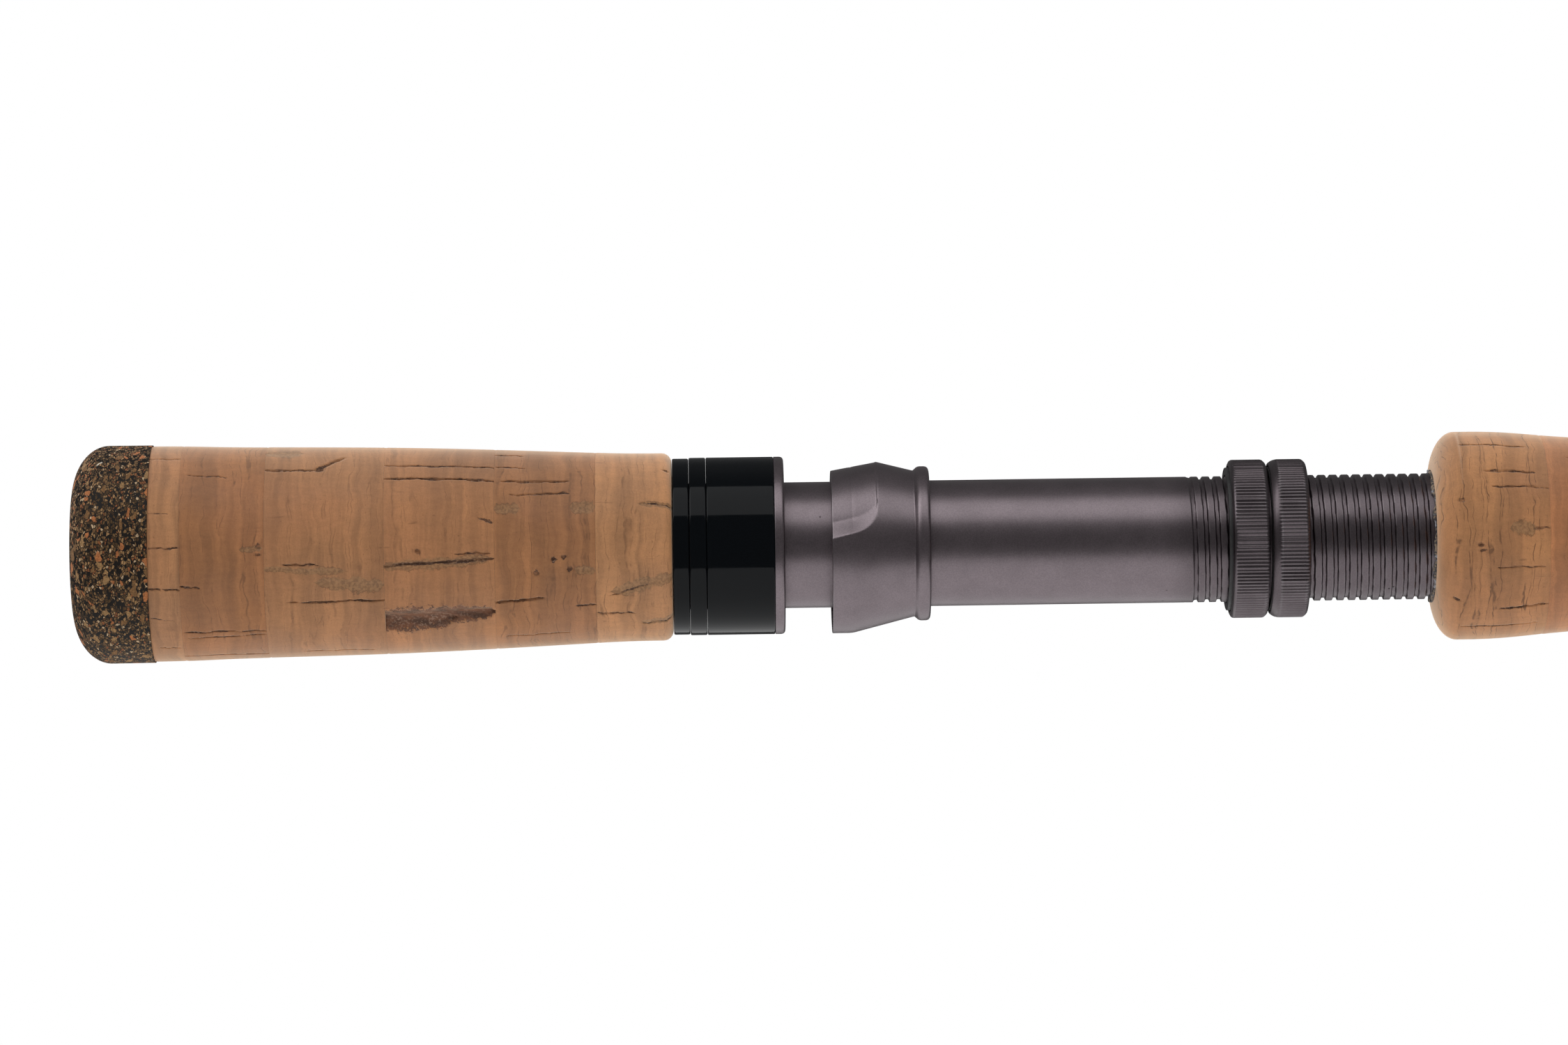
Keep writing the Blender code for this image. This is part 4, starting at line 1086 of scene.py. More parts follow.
class ROD_OT_stage(bpy.types.Operator):
    """Make the floor, the soft boxes, the white surroundings and the camera"""

    bl_idname = "rod.stage"
    bl_label = "Stage"

    def execute(self, context):
        settings = context.scene.rod_stage
        context.scene.view_settings.view_transform = "Standard"
        self.add_floor("floor_near", 0.0, settings.table_radius, settings, True)
        self.add_floor("floor_far", settings.table_radius, settings.floor_radius, settings, False)
        self.add_box("key_box", (0.40, -0.50, 0.95), (1.30, 0.84), settings.key_power)
        self.add_box("side_box", (-0.95, -0.50, 0.95), (1.40, 0.84), settings.side_power)
        self.add_surroundings(context.scene, settings)
        self.add_camera(context.scene, settings)
        return {"FINISHED"}

    def add_floor(self, name, inner, outer, settings, mirrored):
        """Disc or ring of paper; only the near one shows in the metal's reflections."""
        mesh_data = bmesh.new()
        sides = 128
        rings = []
        for radius in (outer, max(inner, 1.0 * MM)):
            ring = []
            for k in range(sides):
                angle = math.tau * k / sides
                place = (radius * math.cos(angle), radius * math.sin(angle), -settings.floor_drop)
                ring.append(mesh_data.verts.new(place))
            rings.append(ring)
        join_loops(mesh_data, rings)
        if inner == 0.0:
            mesh_data.faces.new(rings[-1])
        mesh = bpy.data.meshes.new(name)
        mesh_data.to_mesh(mesh)
        mesh_data.free()
        mesh.materials.append(floor_finish())
        floor = bpy.data.objects.new(name, mesh)
        bpy.context.scene.collection.objects.link(floor)
        floor.visible_glossy = mirrored

    def add_box(self, name, place, size, power):
        """Rectangular soft box that faces the reel seat."""
        light = bpy.data.lights.new(name, "AREA")
        light.shape = "RECTANGLE"
        light.size = size[0]
        light.size_y = size[1]
        light.energy = power
        box = bpy.data.objects.new(name, light)
        bpy.context.scene.collection.objects.link(box)
        box.location = place
        facing = Vector((0.0, -place[1], -place[2]))
        box.rotation_euler = facing.to_track_quat("-Z", "Y").to_euler()
        box.visible_camera = False

    def add_surroundings(self, scene, settings):
        """White for the camera, a dim room to mirror, and soft light that is strongest from behind."""
        world = bpy.data.worlds.new("studio")
        world.use_nodes = True
        tree = world.node_tree
        tree.nodes.clear()
        path = tree.nodes.new("ShaderNodeLightPath")
        lit = self.room_shade(tree, (-0.1, 0.5), (settings.room_front, settings.room_behind))
        mirrored = self.room_shade(tree, (0.35, 0.75), (settings.mirror_front, settings.mirror_behind))
        white = tree.nodes.new("ShaderNodeBackground")
        white.inputs["Color"].default_value = (1.0, 1.0, 1.0, 1.0)
        room = self.choose(tree, path.outputs["Is Glossy Ray"], lit, mirrored)
        seen = self.choose(tree, path.outputs["Is Camera Ray"], room, white.outputs[0])
        output = tree.nodes.new("ShaderNodeOutputWorld")
        tree.links.new(seen, output.inputs["Surface"])
        scene.world = world

    def room_shade(self, tree, depths, strengths):
        """Light that changes from the first strength to the second with the direction's Y."""
        direction = tree.nodes.new("ShaderNodeTexCoord").outputs["Generated"]
        parts = tree.nodes.new("ShaderNodeSeparateXYZ")
        tree.links.new(direction, parts.inputs[0])
        shade = tree.nodes.new("ShaderNodeMapRange")
        shade.interpolation_type = "SMOOTHSTEP"
        keys = ("From Min", "From Max", "To Min", "To Max")
        for key, value in zip(keys, (*depths, *strengths)):
            shade.inputs[key].default_value = value
        tree.links.new(parts.outputs[1], shade.inputs["Value"])
        background = tree.nodes.new("ShaderNodeBackground")
        tree.links.new(shade.outputs["Result"], background.inputs["Strength"])
        background.inputs["Color"].default_value = (1.0, 1.0, 1.0, 1.0)
        return background.outputs[0]

    def choose(self, tree, switch, off, on):
        mix = tree.nodes.new("ShaderNodeMixShader")
        tree.links.new(switch, mix.inputs[0])
        tree.links.new(off, mix.inputs[1])
        tree.links.new(on, mix.inputs[2])
        return mix.outputs[0]

    def add_camera(self, scene, settings):
        camera_data = bpy.data.cameras.new("camera")
        camera_data.lens = settings.lens
        camera_data.sensor_width = 36.0
        camera_data.shift_x = settings.shift
        camera_data.clip_start = 50.0 * MM
        camera_data.clip_end = 30000.0 * MM
        camera = bpy.data.objects.new("camera", camera_data)
        scene.collection.objects.link(camera)
        camera.location = (settings.aim_x, -settings.distance, settings.aim_z)
        camera.rotation_euler = (math.pi / 2.0, settings.roll, 0.0)
        scene.camera = camera


class ROD_OT_butt_cap(bpy.types.Operator):
    """Make the rubberised composite cap"""

    bl_idname = "rod.butt_cap"
    bl_label = "Butt cap"

    def execute(self, context):
        sizes = context.scene.rod_cap
        span = span_of("butt_cap")
        seam = span_of(numbered_nodes("rear_grip_ring")[0]).start
        face = seam - SEAM
        dome_end = span.start + sizes.dome_height
        section = [(span.start, 0.0, 0.0), (span.start, sizes.flat_radius * 0.5, 0.0)]
        section.append((span.start, sizes.flat_radius, 0.0))
        steps = 10
        for k in range(1, steps):
            t = k / steps
            radius = sizes.flat_radius + (sizes.dome_radius - sizes.flat_radius) * t
            section.append((span.start + sizes.dome_height * t * t, radius, 0.0))
        centre = (dome_end + sizes.corner_length, sizes.dome_radius)
        section += quarter(centre, sizes.corner_length, span.outer - sizes.dome_radius, 180.0, 30)
        section = spaced(section, 0.4 * MM, closed=False)
        section += spaced([section[-1], (face, span.outer - 0.03 * MM, 0.0)], 0.35 * MM, closed=False)[1:]
        section += [(face, span.outer * 0.7, 0.0), (face, 0.0, 0.0)]
        turned = Turned(section, 480, closed=False)
        outside = (turned.r > 1.0 * MM) & (turned.x < face - 0.1 * MM)
        turned.r = turned.r - np.where(outside, self.pits(turned, span.start, face), 0.0)
        turned_piece("composite_cap", turned, composite_finish(), "butt_cap", sharp=60.0)
        return {"FINISHED"}

    def pits(self, turned, start, end, count=90, deepest=0.12 * MM):
        """Depth of the small pits that fallen granules leave."""
        rng = np.random.default_rng(5)
        field = np.zeros(turned.x.shape)
        for _ in range(count):
            place = rng.uniform(start, end)
            angle = rng.uniform(0.0, math.tau)
            size = rng.uniform(0.25, 0.7) * MM
            far = np.hypot(turned.x - place, turned.turn_from(angle) * turned.r)
            field = np.maximum(field, smoothstep(1.0 - far / size) * rng.uniform(0.3, 1.0))
        return field * deepest


class ROD_OT_rear_grip(bpy.types.Operator):
    """Make the rear grip's cork rings"""

    bl_idname = "rod.rear_grip"
    bl_label = "Rear grip"

    def execute(self, context):
        shades = (
            (0.97, 0.99, 1.02), (0.83, 0.76, 0.68), (0.95, 0.95, 0.96),
            (0.95, 0.92, 0.91), (0.85, 0.80, 0.75), (1.12, 1.16, 1.20),
        )
        grains = (0.35, 0.75, 0.5, 0.45, 0.75, 0.6)
        corner = context.scene.rod_cork.rear_front_corner
        cork_grip(
            "rear_grip_ring", "cork_rear", shades, grains, REAR_MARKS, rear_corner=None,
            front_corner=(corner, corner), finish_at=span_of("rear_trim_ring").start - END_GAP, seed=11,
        )
        return {"FINISHED"}


class ROD_OT_collar(bpy.types.Operator):
    """Make the two gloss trim rings and the sleeve"""

    bl_idname = "rod.collar"
    bl_label = "Collar"

    def execute(self, context):
        settings = context.scene.rod_trim
        columns = context.scene.rod_metal.columns
        flange = span_of("fixed_hood").end - context.scene.rod_metal.flange_length
        rows = (
            ("gloss_trim_rear", "rear_trim_ring", span_of("front_trim_ring").start),
            ("gloss_trim_front", "front_trim_ring", span_of("collar_sleeve").start),
            ("gloss_sleeve", "collar_sleeve", flange),
        )
        for name, node, following in rows:
            span = span_of(node)._replace(end=following - COLLAR_GAP)
            section = rounded(ring_outline(span, settings.edge_round))
            turned_piece(name, Turned(section, columns), gloss_black_finish(), node)
        return {"FINISHED"}


def pocket_share(turned, half_angle=40.0, edge_angle=10.0):
    """1 over the foot pocket's floor on the lower side, 0 away from it."""
    return 1.0 - smoothstep((turned.degrees_from_bottom() - half_angle) / edge_angle)


class ROD_OT_fixed_hood(bpy.types.Operator):
    """Make the flanged cup with the rear foot pocket"""

    bl_idname = "rod.fixed_hood"
    bl_label = "Fixed hood"

    def execute(self, context):
        sizes = context.scene.rod_metal
        span = span_of("fixed_hood")
        cup = span_of("collar_sleeve").bore - 0.2 * MM
        flange = span.end - sizes.flange_length
        pocket_end = span.end - sizes.fixed_pocket_depth
        section = rounded([
            (span.start, span.bore, 0.1 * MM), (span.start, cup, 0.2 * MM), (flange, cup, 0.0),
            (flange, span.outer, 0.12 * MM), (span.end, span.outer, sizes.flange_round),
            (span.end, span.bore, 0.15 * MM),
        ], steps=8)
        section = spaced(section, 0.4 * MM)
        turned = Turned(section, sizes.columns)
        deep = smoothstep((turned.x - pocket_end) / (0.8 * MM))
        on_bore = turned.r < span.bore + 0.3 * MM
        reach = (sizes.fixed_pocket_radius - span.bore) * pocket_share(turned) * deep
        turned.r = turned.r + np.where(on_bore, reach, 0.0)
        turned_piece("flanged_cup", turned, gunmetal_finish(), "fixed_hood", sharp=34.0)
        return {"FINISHED"}


class ROD_OT_barrel(bpy.types.Operator):
    """Make the turned barrel with its single-start thread"""

    bl_idname = "rod.barrel"
    bl_label = "Barrel"

    def execute(self, context):
        sizes = context.scene.rod_metal
        span = span_of("reel_seat_barrel")
        section = spaced(rounded(ring_outline(span, 0.4 * MM)), 3.0 * MM)
        section = spaced(
            section, 0.11 * MM, sizes.thread_start - 2.0 * MM, sizes.thread_end + 2.0 * MM,
            above=span.bore + 0.1 * MM,
        )
        turned = Turned(section, 160)
        half_land = 0.26    # this and the next two are shares of the thread's pitch
        flank = 0.12
        rubbed = 0.05
        phase = (turned.x - sizes.thread_start) / sizes.thread_pitch - turned.angle / math.tau
        from_crest = np.abs(phase - np.round(phase))
        run_in = smoothstep((turned.x - sizes.thread_start) / (1.3 * sizes.thread_pitch))
        run_out = smoothstep((sizes.thread_end - turned.x) / sizes.thread_pitch)
        outside = turned.r > (span.outer + span.bore) / 2.0
        groove = smoothstep((from_crest - half_land) / flank) * run_in * run_out
        turned.r = turned.r - np.where(outside, groove * sizes.thread_depth, 0.0)
        crest = half_land - 0.02
        worn = np.clip(1.0 - np.abs(from_crest - crest) / rubbed, 0.0, 1.0) * run_in * run_out
        # painted shade: darkening that rises over the thread, standing in for the shade in its grooves
        threaded = smoothstep((turned.x - sizes.thread_start + 4.0 * MM) / (6.0 * MM))
        turned.attributes = {"edge": np.where(outside, worn * 0.5, 0.0), "groove_shade": threaded * sizes.groove_shade}
        turned_piece("threaded_barrel", turned, gunmetal_finish(), "reel_seat_barrel", sharp=50.0)
        return {"FINISHED"}


class ROD_OT_sliding_hood(bpy.types.Operator):
    """Make the sliding hood, with its beaded neck, foot pocket and relieved upper side"""

    bl_idname = "rod.sliding_hood"
    bl_label = "Sliding hood"

    def execute(self, context):
        sizes = context.scene.rod_metal
        span = span_of("sliding_hood")
        neck_radius, bead_radius = self.neck_and_bead(span)
        cylinder_length = 3.0 * MM
        bead_length = 2.0 * MM
        cone_start = span.start + cylinder_length
        neck = span.start + 12.3 * MM
        bead = span.end - bead_length
        section = rounded([
            (span.start, span.bore, 0.08 * MM), (span.start, span.outer, 0.14 * MM),
            (cone_start, span.outer, 0.7 * MM), (neck, neck_radius, 0.9 * MM),
            (bead - 0.35 * MM, neck_radius, 0.6 * MM), (bead + 0.3 * MM, bead_radius, 0.8 * MM),
            (span.end, bead_radius, 0.8 * MM), (span.end, span.bore, 0.15 * MM),
        ], steps=8)
        section = spaced(section, 0.5 * MM)
        section = spaced(section, 0.14 * MM, above=span.bore + 0.1 * MM)
        turned = Turned(section, 480)
        share = np.clip((turned.x - cone_start) / (neck - cone_start), 0.0, 1.0)
        full = span.outer + (neck_radius - span.outer) * share
        along = (turned.x - span.start) / sizes.relief_length
        top = sizes.relief_top + sizes.relief_slope * (turned.x - span.start)
        relieved = 1.0 / np.hypot(np.sin(turned.angle) / sizes.relief_side, np.cos(turned.angle) / top)
        height = turned.degrees_from_bottom() - 90.0
        reach = np.clip(along, 0.0, 1.0)
        edge = sizes.relief_edge + sizes.relief_edge_rise * (0.6 * reach + reach ** 6)
        flank = np.clip((height - edge) / sizes.relief_flank, 0.0, 1.0)
        hollow = 1.0 - (1.0 - flank) ** 1.4
        outside = turned.r > span.bore + 0.75 * MM
        cut = np.maximum(full - relieved, 0.0) * hollow * smoothstep((1.0 - along) / 0.06)
        pocket_end = span.start + sizes.hood_pocket_depth
        run_out = 0.8 * MM
        deep = 1.0 - smoothstep((turned.x - pocket_end + run_out) / run_out)
        pocket = (full - sizes.hood_wall - span.bore) * pocket_share(turned) * deep
        turned.r = turned.r + np.where(outside, -cut, pocket)
        turned_piece("relieved_hood", turned, gunmetal_finish(), "sliding_hood", "hood", sharp=30.0)
        return {"FINISHED"}

    def neck_and_bead(self, span):
        """Radius of the hood's neck and of the bead in front of it."""
        stations = widest_at(["sliding_hood"], 5)
        front = [radius for x, radius in stations.items() if x > span.start + 12.0 * MM]
        return min(radius for radius in front if radius > span.bore + 0.5 * MM), max(front)


class ROD_OT_lock_nuts(bpy.types.Operator):
    """Make the two knurled lock nuts and their nylon thrust washers"""

    bl_idname = "rod.lock_nuts"
    bl_label = "Lock nuts"

    def execute(self, context):
        for order, seed in (("rear", 3), ("front", 8)):
            self.add_washer(context, order)
            self.add_nut(context, order, seed)
        return {"FINISHED"}

    def add_washer(self, context, order):
        node = f"{order}_thrust_washer"
        section = rounded(ring_outline(span_of(node), 0.2 * MM))
        turned = Turned(section, context.scene.rod_metal.columns)
        turned_piece(f"nylon_ring_{order}", turned, nylon_finish(), node, f"{order}_washer")

    def add_nut(self, context, order, seed):
        sizes = context.scene.rod_metal
        node = f"{order}_lock_nut"
        span = span_of(node)
        washer = span_of(f"{order}_thrust_washer")
        clearance = 0.25 * MM
        recess = washer.outer + clearance
        recess_end = washer.end + clearance
        shoulder = sizes.nut_shoulder * (1.5 if order == "front" else 0.55)
        chamfer = 0.55 * MM
        section = rounded([
            (recess_end, span.bore, 0.05 * MM), (recess_end, recess, 0.05 * MM),
            (span.start, recess, 0.08 * MM), (span.start, span.outer - 0.6 * MM, 0.3 * MM),
            (span.start + shoulder * 0.45, span.outer - 0.15 * MM, 0.4 * MM),
            (span.start + shoulder, span.outer, 0.2 * MM), (span.end - chamfer, span.outer, 0.3 * MM),
            (span.end, span.outer - chamfer, 0.2 * MM), (span.end, span.bore, 0.15 * MM),
        ])
        section = spaced(section, 0.3 * MM)
        turned = Turned(section, sizes.nut_flutes * 6)
        rng = np.random.default_rng(seed)
        place = turned.angle / math.tau * sizes.nut_flutes
        flute = np.floor(place).astype(int) % sizes.nut_flutes
        depths = rng.uniform(0.7, 1.15, sizes.nut_flutes)[flute]
        across = np.abs(place - np.floor(place) - 0.5) * 2.0
        groove_share = 0.75
        groove = np.clip(1.0 - across / groove_share, 0.0, 1.0) * depths
        cover = smoothstep((turned.x - span.start - shoulder * 0.7) / (0.35 * MM))
        cover = cover * smoothstep((span.end - 0.12 * MM - turned.x) / (0.35 * MM))
        outside = turned.r > span.outer - 0.6 * MM
        turned.r = turned.r - np.where(outside, groove * cover * sizes.nut_groove, 0.0)
        ridge = np.clip((across - groove_share) * 4.0, 0.0, 1.0) * cover
        worn = np.where(outside, np.maximum(turned.edge * 0.5, ridge * 0.8), 0.0)
        # painted shade: the whole knurled nut is darkened, standing in for the shade in its grooves
        turned.attributes = {"edge": worn, "groove_shade": np.full(worn.shape, 1.3 * sizes.groove_shade)}
        turned_piece(f"knurled_nut_{order}", turned, gunmetal_finish(), node, f"{order}_nut", sharp=50.0)


class ROD_OT_foregrip(bpy.types.Operator):
    """Make the foregrip's cork rings and the glue round the barrel's hole"""

    bl_idname = "rod.foregrip"
    bl_label = "Foregrip"

    def execute(self, context):
        settings = context.scene.rod_cork
        shades = ((1.08, 1.08, 1.04), (1.14, 1.02, 0.98), (1.0, 0.98, 0.96))
        grains = (1.3, 0.4)
        cork_grip(
            "foregrip_ring", "cork_front", shades, grains, FRONT_MARKS,
            rear_corner=(settings.fore_rear_length, settings.fore_rear_height),
            front_corner=(settings.fore_front_corner, settings.fore_front_corner),
            finish_at=span_of("winding_check").start - END_GAP, seed=47,
        )
        self.add_glue()
        return {"FINISHED"}

    def add_glue(self):
        """Lumpy bead of glue that fills the gap between the barrel and the cork."""
        grip = span_of(numbered_nodes("foregrip_ring")[0])
        barrel = span_of("reel_seat_barrel")
        inner = barrel.outer - 0.3 * MM
        outer = grip.bore + 0.25 * MM
        section = rounded([
            (grip.start + 1.5 * MM, inner, 0.0), (grip.start - 0.1 * MM, inner, 0.05 * MM),
            (grip.start - 0.15 * MM, outer, 0.2 * MM), (grip.start + 1.5 * MM, outer, 0.0),
        ])
        turned = Turned(spaced(section, 0.1 * MM), 360)
        rng = np.random.default_rng(21)
        share = turned.angle / math.tau
        lumps = smooth_noise(rng, 41, share) * 0.18 + smooth_noise(rng, 97, share) * 0.14
        lip = 0.3 * MM
        exposed = smoothstep((grip.start + lip - turned.x) / lip)
        turned.x = turned.x - exposed * (0.2 + lumps) * MM
        turned.r = turned.r + exposed * smooth_noise(rng, 67, share) * 0.12 * MM
        mesh = grid_mesh("glue_bead", turned.points(), True, turned.attributes)
        mesh.set_sharp_from_angle(angle=math.radians(60.0))
        mesh.materials.append(glue_finish())
        bead = bpy.data.objects.new("glue_bead", mesh)
        bpy.context.scene.collection.objects.link(bead)
        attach(bead, "rod")


class ROD_OT_winding_check(bpy.types.Operator):
    """Make the machined ring that closes the foregrip"""

    bl_idname = "rod.winding_check"
    bl_label = "Winding check"

    def execute(self, context):
        span = span_of("winding_check")
        tip = span.bore + 0.6 * MM
        section = rounded([
            (span.start, span.bore, 0.1 * MM), (span.start, span.outer, 0.3 * MM),
            (span.start + 1.3 * MM, span.outer, 0.35 * MM),
            (span.start + 1.6 * MM, span.outer - 0.6 * MM, 0.3 * MM),
            (span.end, tip, 0.25 * MM), (span.end, span.bore, 0.1 * MM),
        ])
        turned = Turned(spaced(section, 0.3 * MM), context.scene.rod_metal.columns)
        turned_piece("machined_check", turned, gunmetal_finish(), "winding_check", sharp=34.0)
        return {"FINISHED"}


def blank_ends():
    """The blank's span, and the radii of its points within 1 mm of its rear and front ends."""
    span = span_of("blank")
    x, radius = node_stations("blank")
    return span, radius[x < span.start + 1.0 * MM], radius[x > span.end - 1.0 * MM]


class ROD_OT_blank(bpy.types.Operator):
    """Make the tapered carbon blank, with its helical tape lines"""

    bl_idname = "rod.blank"
    bl_label = "Blank"

    def execute(self, context):
        settings = context.scene.rod_blank
        span, rear, front = blank_ends()
        outline = [
            (span.start, rear.min(), 0.1 * MM), (span.start, rear.max(), 0.2 * MM),
            (span.end, front.max(), 0.2 * MM), (span.end, front.min(), 0.1 * MM),
        ]
        section = spaced(rounded(outline), 12.0 * MM)
        section = spaced(section, 0.65 * MM, span_of("winding_check").start)
        turned = Turned(section, 64)
        phase = turned.x / settings.tape_pitch - turned.angle / math.tau
        from_line = np.abs(phase - np.round(phase))
        ridge = smoothstep(1.0 - from_line / 0.3)
        wall = np.interp(turned.x, (span.start, span.end), (rear.mean(), front.mean()))
        turned.r = turned.r + np.where(turned.r > wall, (ridge - 1.0) * settings.tape_height, 0.0)
        turned_piece("coated_blank", turned, blank_finish(), "blank", sharp=50.0)
        return {"FINISHED"}


def blank_radius_at(x):
    """Outer radius of the blank's straight taper."""
    span, rear, front = blank_ends()
    return np.interp(x, (span.start, span.end), (rear.max(), front.max()))


def binding(name, node, foot_height, foot_width, settings):
    """Thread wound on the blank under epoxy, raised over a foot on its lower side."""
    span = span_of(node)
    rows = math.ceil((span.end - span.start) / (0.2 * MM))
    section = []
    for k in range(rows + 1):
        section.append((span.start + (span.end - span.start) * k / rows, span.outer, 0.0))
    for x in (span.end, span.start):
        section.append((x, blank_radius_at(x) * 0.97, 0.0))
    turned = Turned(section, 96)
    outside = np.arange(len(section))[:, None] <= rows
    core = blank_radius_at(turned.x)
    from_end = np.minimum(turned.x - span.start, span.end - turned.x)
    slope = smoothstep(from_end / settings.end_slope * 0.5 + 0.5) * 2.0 - 1.0
    ridges = np.cos(turned.x / settings.thread_width * math.tau) * 0.006 * MM
    off_foot = turned.degrees_from_bottom() / foot_width
    hump = foot_height * np.exp(-off_foot ** 2) * smoothstep(from_end / (2.2 * MM))
    surface = core + np.maximum(slope, 0.02) * settings.thickness + hump + ridges * slope
    turned.r = np.where(outside, surface, turned.r)
    band_start = settings.end_slope * 0.9
    band = (from_end > band_start) & (from_end < band_start + settings.band_length)
    turned.attributes = {"band": band.astype(float)}
    return turned_piece(name, turned, binding_finish(), node, sharp=50.0)


class ROD_OT_line_guide(bpy.types.Operator):
    """Make the wire guide, its polished insert and the bindings over its feet"""

    bl_idname = "rod.line_guide"
    bl_label = "Line guide"

    def execute(self, context):
        settings = context.scene.rod_guide
        low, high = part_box("guide_insert")
        centre = (low + high) / 2.0
        insert_radius = (high.y - low.y) / 2.0
        wire = settings.wire * 1.19
        ring_radius = insert_radius + 0.3 * MM + wire
        self.add_frame(settings, centre, ring_radius, wire)
        self.add_insert(centre, insert_radius, high.x - low.x)
        foot_height = 0.92 * MM
        foot_width = 17.0
        for end in ("rear", "front"):
            names = (f"guide_binding_{end}", f"guide_wrap_{end}")
            binding(*names, foot_height, foot_width, context.scene.rod_binding)
        return {"FINISHED"}

    def add_frame(self, settings, centre, ring_radius, wire):
        """Ring and three legs as overlapping tubes, fused into one brazed skin."""
        mesh_data = bmesh.new()
        shapes = [self.ring(centre, ring_radius, wire)]
        legs = (
            (1.0, settings.rear_reach, -1.0), (-1.0, settings.rear_reach, -1.0),
            (0.0, settings.front_reach, 1.0),
        )
        for side, reach, direction in legs:
            shapes.append(self.leg(settings, centre, ring_radius, side, reach, direction))
        for shape in shapes:
            loose = bpy.data.meshes.new("guide_shape")
            shape.to_mesh(loose)
            shape.free()
            mesh_data.from_mesh(loose)
            bpy.data.meshes.remove(loose)
        bmesh.ops.recalc_face_normals(mesh_data, faces=mesh_data.faces)
        mesh = bpy.data.meshes.new("wire_guide")
        mesh_data.to_mesh(mesh)
        mesh_data.free()
        frame_piece = place_piece("wire_guide", mesh, guide_steel_finish(), "guide_frame")
        remesh = frame_piece.modifiers.new("braze", "REMESH")
        remesh.mode = "VOXEL"
        remesh.voxel_size = settings.skin
        remesh.use_smooth_shade = True
        smooth = frame_piece.modifiers.new("polish", "SMOOTH")
        smooth.factor = 0.5
        smooth.iterations = 5

    def ring(self, centre, radius, wire, steps=96, sides=16):
        """Ring of round wire that stands across the rod."""
        mesh_data = bmesh.new()
        loops = []
        for k in range(steps):
            angle = math.tau * k / steps
            point = centre + Vector((0.0, radius * math.sin(angle), radius * math.cos(angle)))
            outward = (point - centre).normalized()
            loop = []
            for j in range(sides):
                angle = math.tau * j / sides
                offset = outward * wire * math.cos(angle) + Vector((wire * math.sin(angle), 0.0, 0.0))
                loop.append(mesh_data.verts.new(point + offset))
            loops.append(loop)
        join_loops(mesh_data, loops, closed=True)
        return mesh_data

    def leg(self, settings, centre, ring_radius, side, reach, direction):
        """Wire from the ring to the blank, flattened into a foot that tapers to its toe."""
        wire = settings.wire
        knee = centre.x + direction * reach
        toe = knee + direction * settings.foot_length
        spread = side * 0.75 * ring_radius
        lift = math.sqrt(ring_radius ** 2 - spread ** 2)
        knee_z = -blank_radius_at(knee) - 0.5 * MM
        toe_z = -blank_radius_at(toe) - 0.3 * MM
        points = [
            centre + Vector((0.0, spread, lift)),
            Vector((centre.x + direction * reach * 0.5, spread * 0.6, centre.z + lift + 1.7 * MM)),
            Vector((knee, side * 0.5 * MM, knee_z - 0.25 * MM)),
            Vector((knee + direction * 3.0 * MM, side * 0.25 * MM, knee_z)),
            Vector((toe, 0.0, toe_z)),
        ]
        widths = [
            (wire, wire), (wire, wire * 0.9), (wire * 1.2, wire * 0.7),
            (1.3 * MM, 0.42 * MM), (0.5 * MM, 0.16 * MM),
        ]
        path, carried = curve_through(points, widths)
        return tube_mesh(path, [pair[0] for pair in carried], [pair[1] for pair in carried])

    def add_insert(self, centre, radius, width):
        """Ceramic ring with a fully rounded bore, turned round the guide's own axis."""
        thickness = 1.15 * MM
        section = []
        steps = 28
        for k in range(steps):
            angle = -math.tau * k / steps
            x = centre.x + 0.5 * width * math.cos(angle)
            section.append((x, radius - 0.5 * thickness + 0.5 * thickness * math.sin(angle), 0.0))
        points = Turned(section, 128).points(-centre.z)
        mesh = grid_mesh("polished_insert", points, True, {})
        place_piece("polished_insert", mesh, guide_ceramic_finish(), "guide_insert", sharp=80.0)


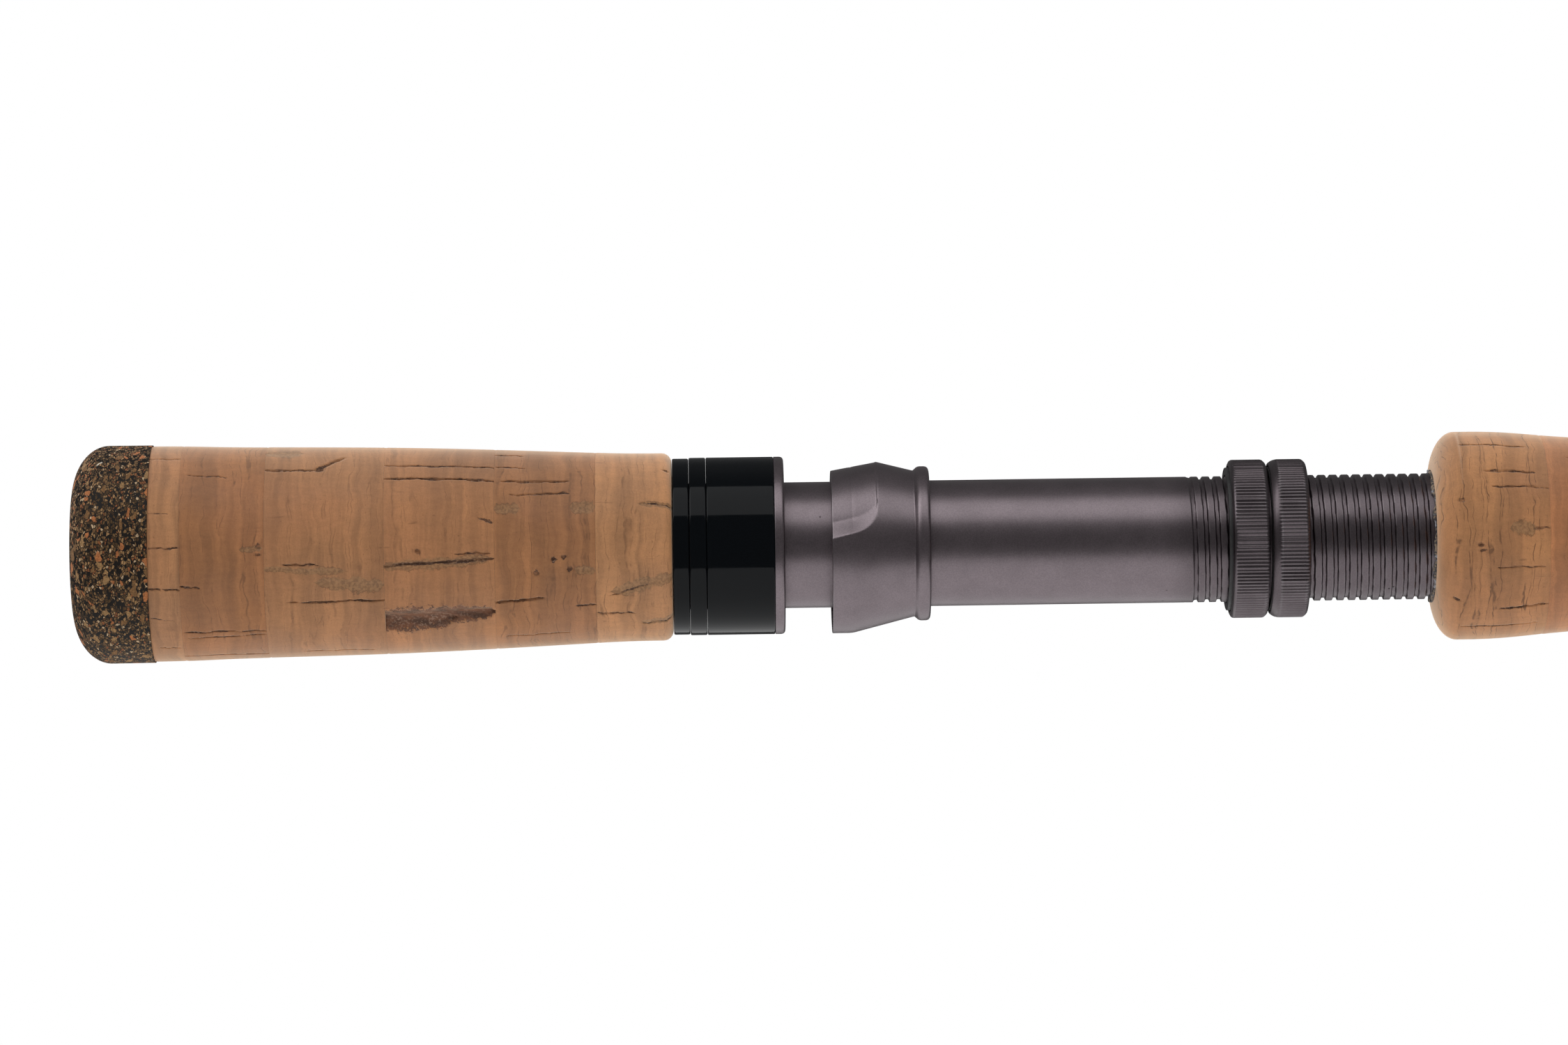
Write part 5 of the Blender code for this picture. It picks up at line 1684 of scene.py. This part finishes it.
class ROD_OT_ferrule(bpy.types.Operator):
    """Make the binding at the blank's end and the ground spigot"""

    bl_idname = "rod.ferrule"
    bl_label = "Ferrule"

    def execute(self, context):
        binding("ferrule_binding", "ferrule_wrap", 0.0, 20.0, context.scene.rod_binding)
        span = span_of("ferrule_spigot")
        shoulder = span_of("blank").end
        tip = span.outer - 0.2 * MM
        section = rounded([
            (span.start, 0.0, 0.0), (span.start, span.outer, 0.2 * MM), (shoulder, span.outer, 0.0),
            (span.end, tip, 0.7 * MM), (span.end, 0.0, 0.0),
        ], closed=False, steps=8)
        turned = Turned(spaced(section, 1.0 * MM, closed=False), 96, closed=False)
        turned_piece("ground_spigot", turned, ground_carbon_finish(), "ferrule_spigot")
        return {"FINISHED"}


class ROD_OT_arbors(bpy.types.Operator):
    """Give the foam arbors inside the barrel their finish"""

    bl_idname = "rod.arbors"
    bl_label = "Arbors"

    def execute(self, context):
        for node in numbered_nodes("seat_arbor"):
            for material_slot in frame["nodes"][node].material_slots:
                material_slot.material = foam_finish()
        return {"FINISHED"}


OPERATORS = (
    ROD_OT_stage, ROD_OT_butt_cap, ROD_OT_rear_grip, ROD_OT_collar, ROD_OT_fixed_hood, ROD_OT_barrel,
    ROD_OT_sliding_hood, ROD_OT_lock_nuts, ROD_OT_foregrip, ROD_OT_winding_check, ROD_OT_blank,
    ROD_OT_line_guide, ROD_OT_ferrule, ROD_OT_arbors,
)


class ROD_PT_pieces(bpy.types.Panel):
    """Buttons for the rod's pieces, in the order they are made"""

    bl_idname = "ROD_PT_pieces"
    bl_label = "Rod pieces"
    bl_space_type = "VIEW_3D"
    bl_region_type = "UI"
    bl_category = "Rod"

    def draw(self, context):
        for operator in OPERATORS:
            self.layout.operator(operator.bl_idname)


def register():
    for name, settings in SETTINGS:
        bpy.utils.register_class(settings)
        setattr(bpy.types.Scene, name, PointerProperty(type=settings))
    for operator in OPERATORS:
        bpy.utils.register_class(operator)
    bpy.utils.register_class(ROD_PT_pieces)


def unregister():
    bpy.utils.unregister_class(ROD_PT_pieces)
    for operator in reversed(OPERATORS):
        bpy.utils.unregister_class(operator)
    for name, settings in reversed(SETTINGS):
        delattr(bpy.types.Scene, name)
        bpy.utils.unregister_class(settings)


def main():
    register()
    for operator in OPERATORS:
        getattr(bpy.ops.rod, operator.bl_idname.split(".")[1])()


if __name__ == "__main__":
    main()
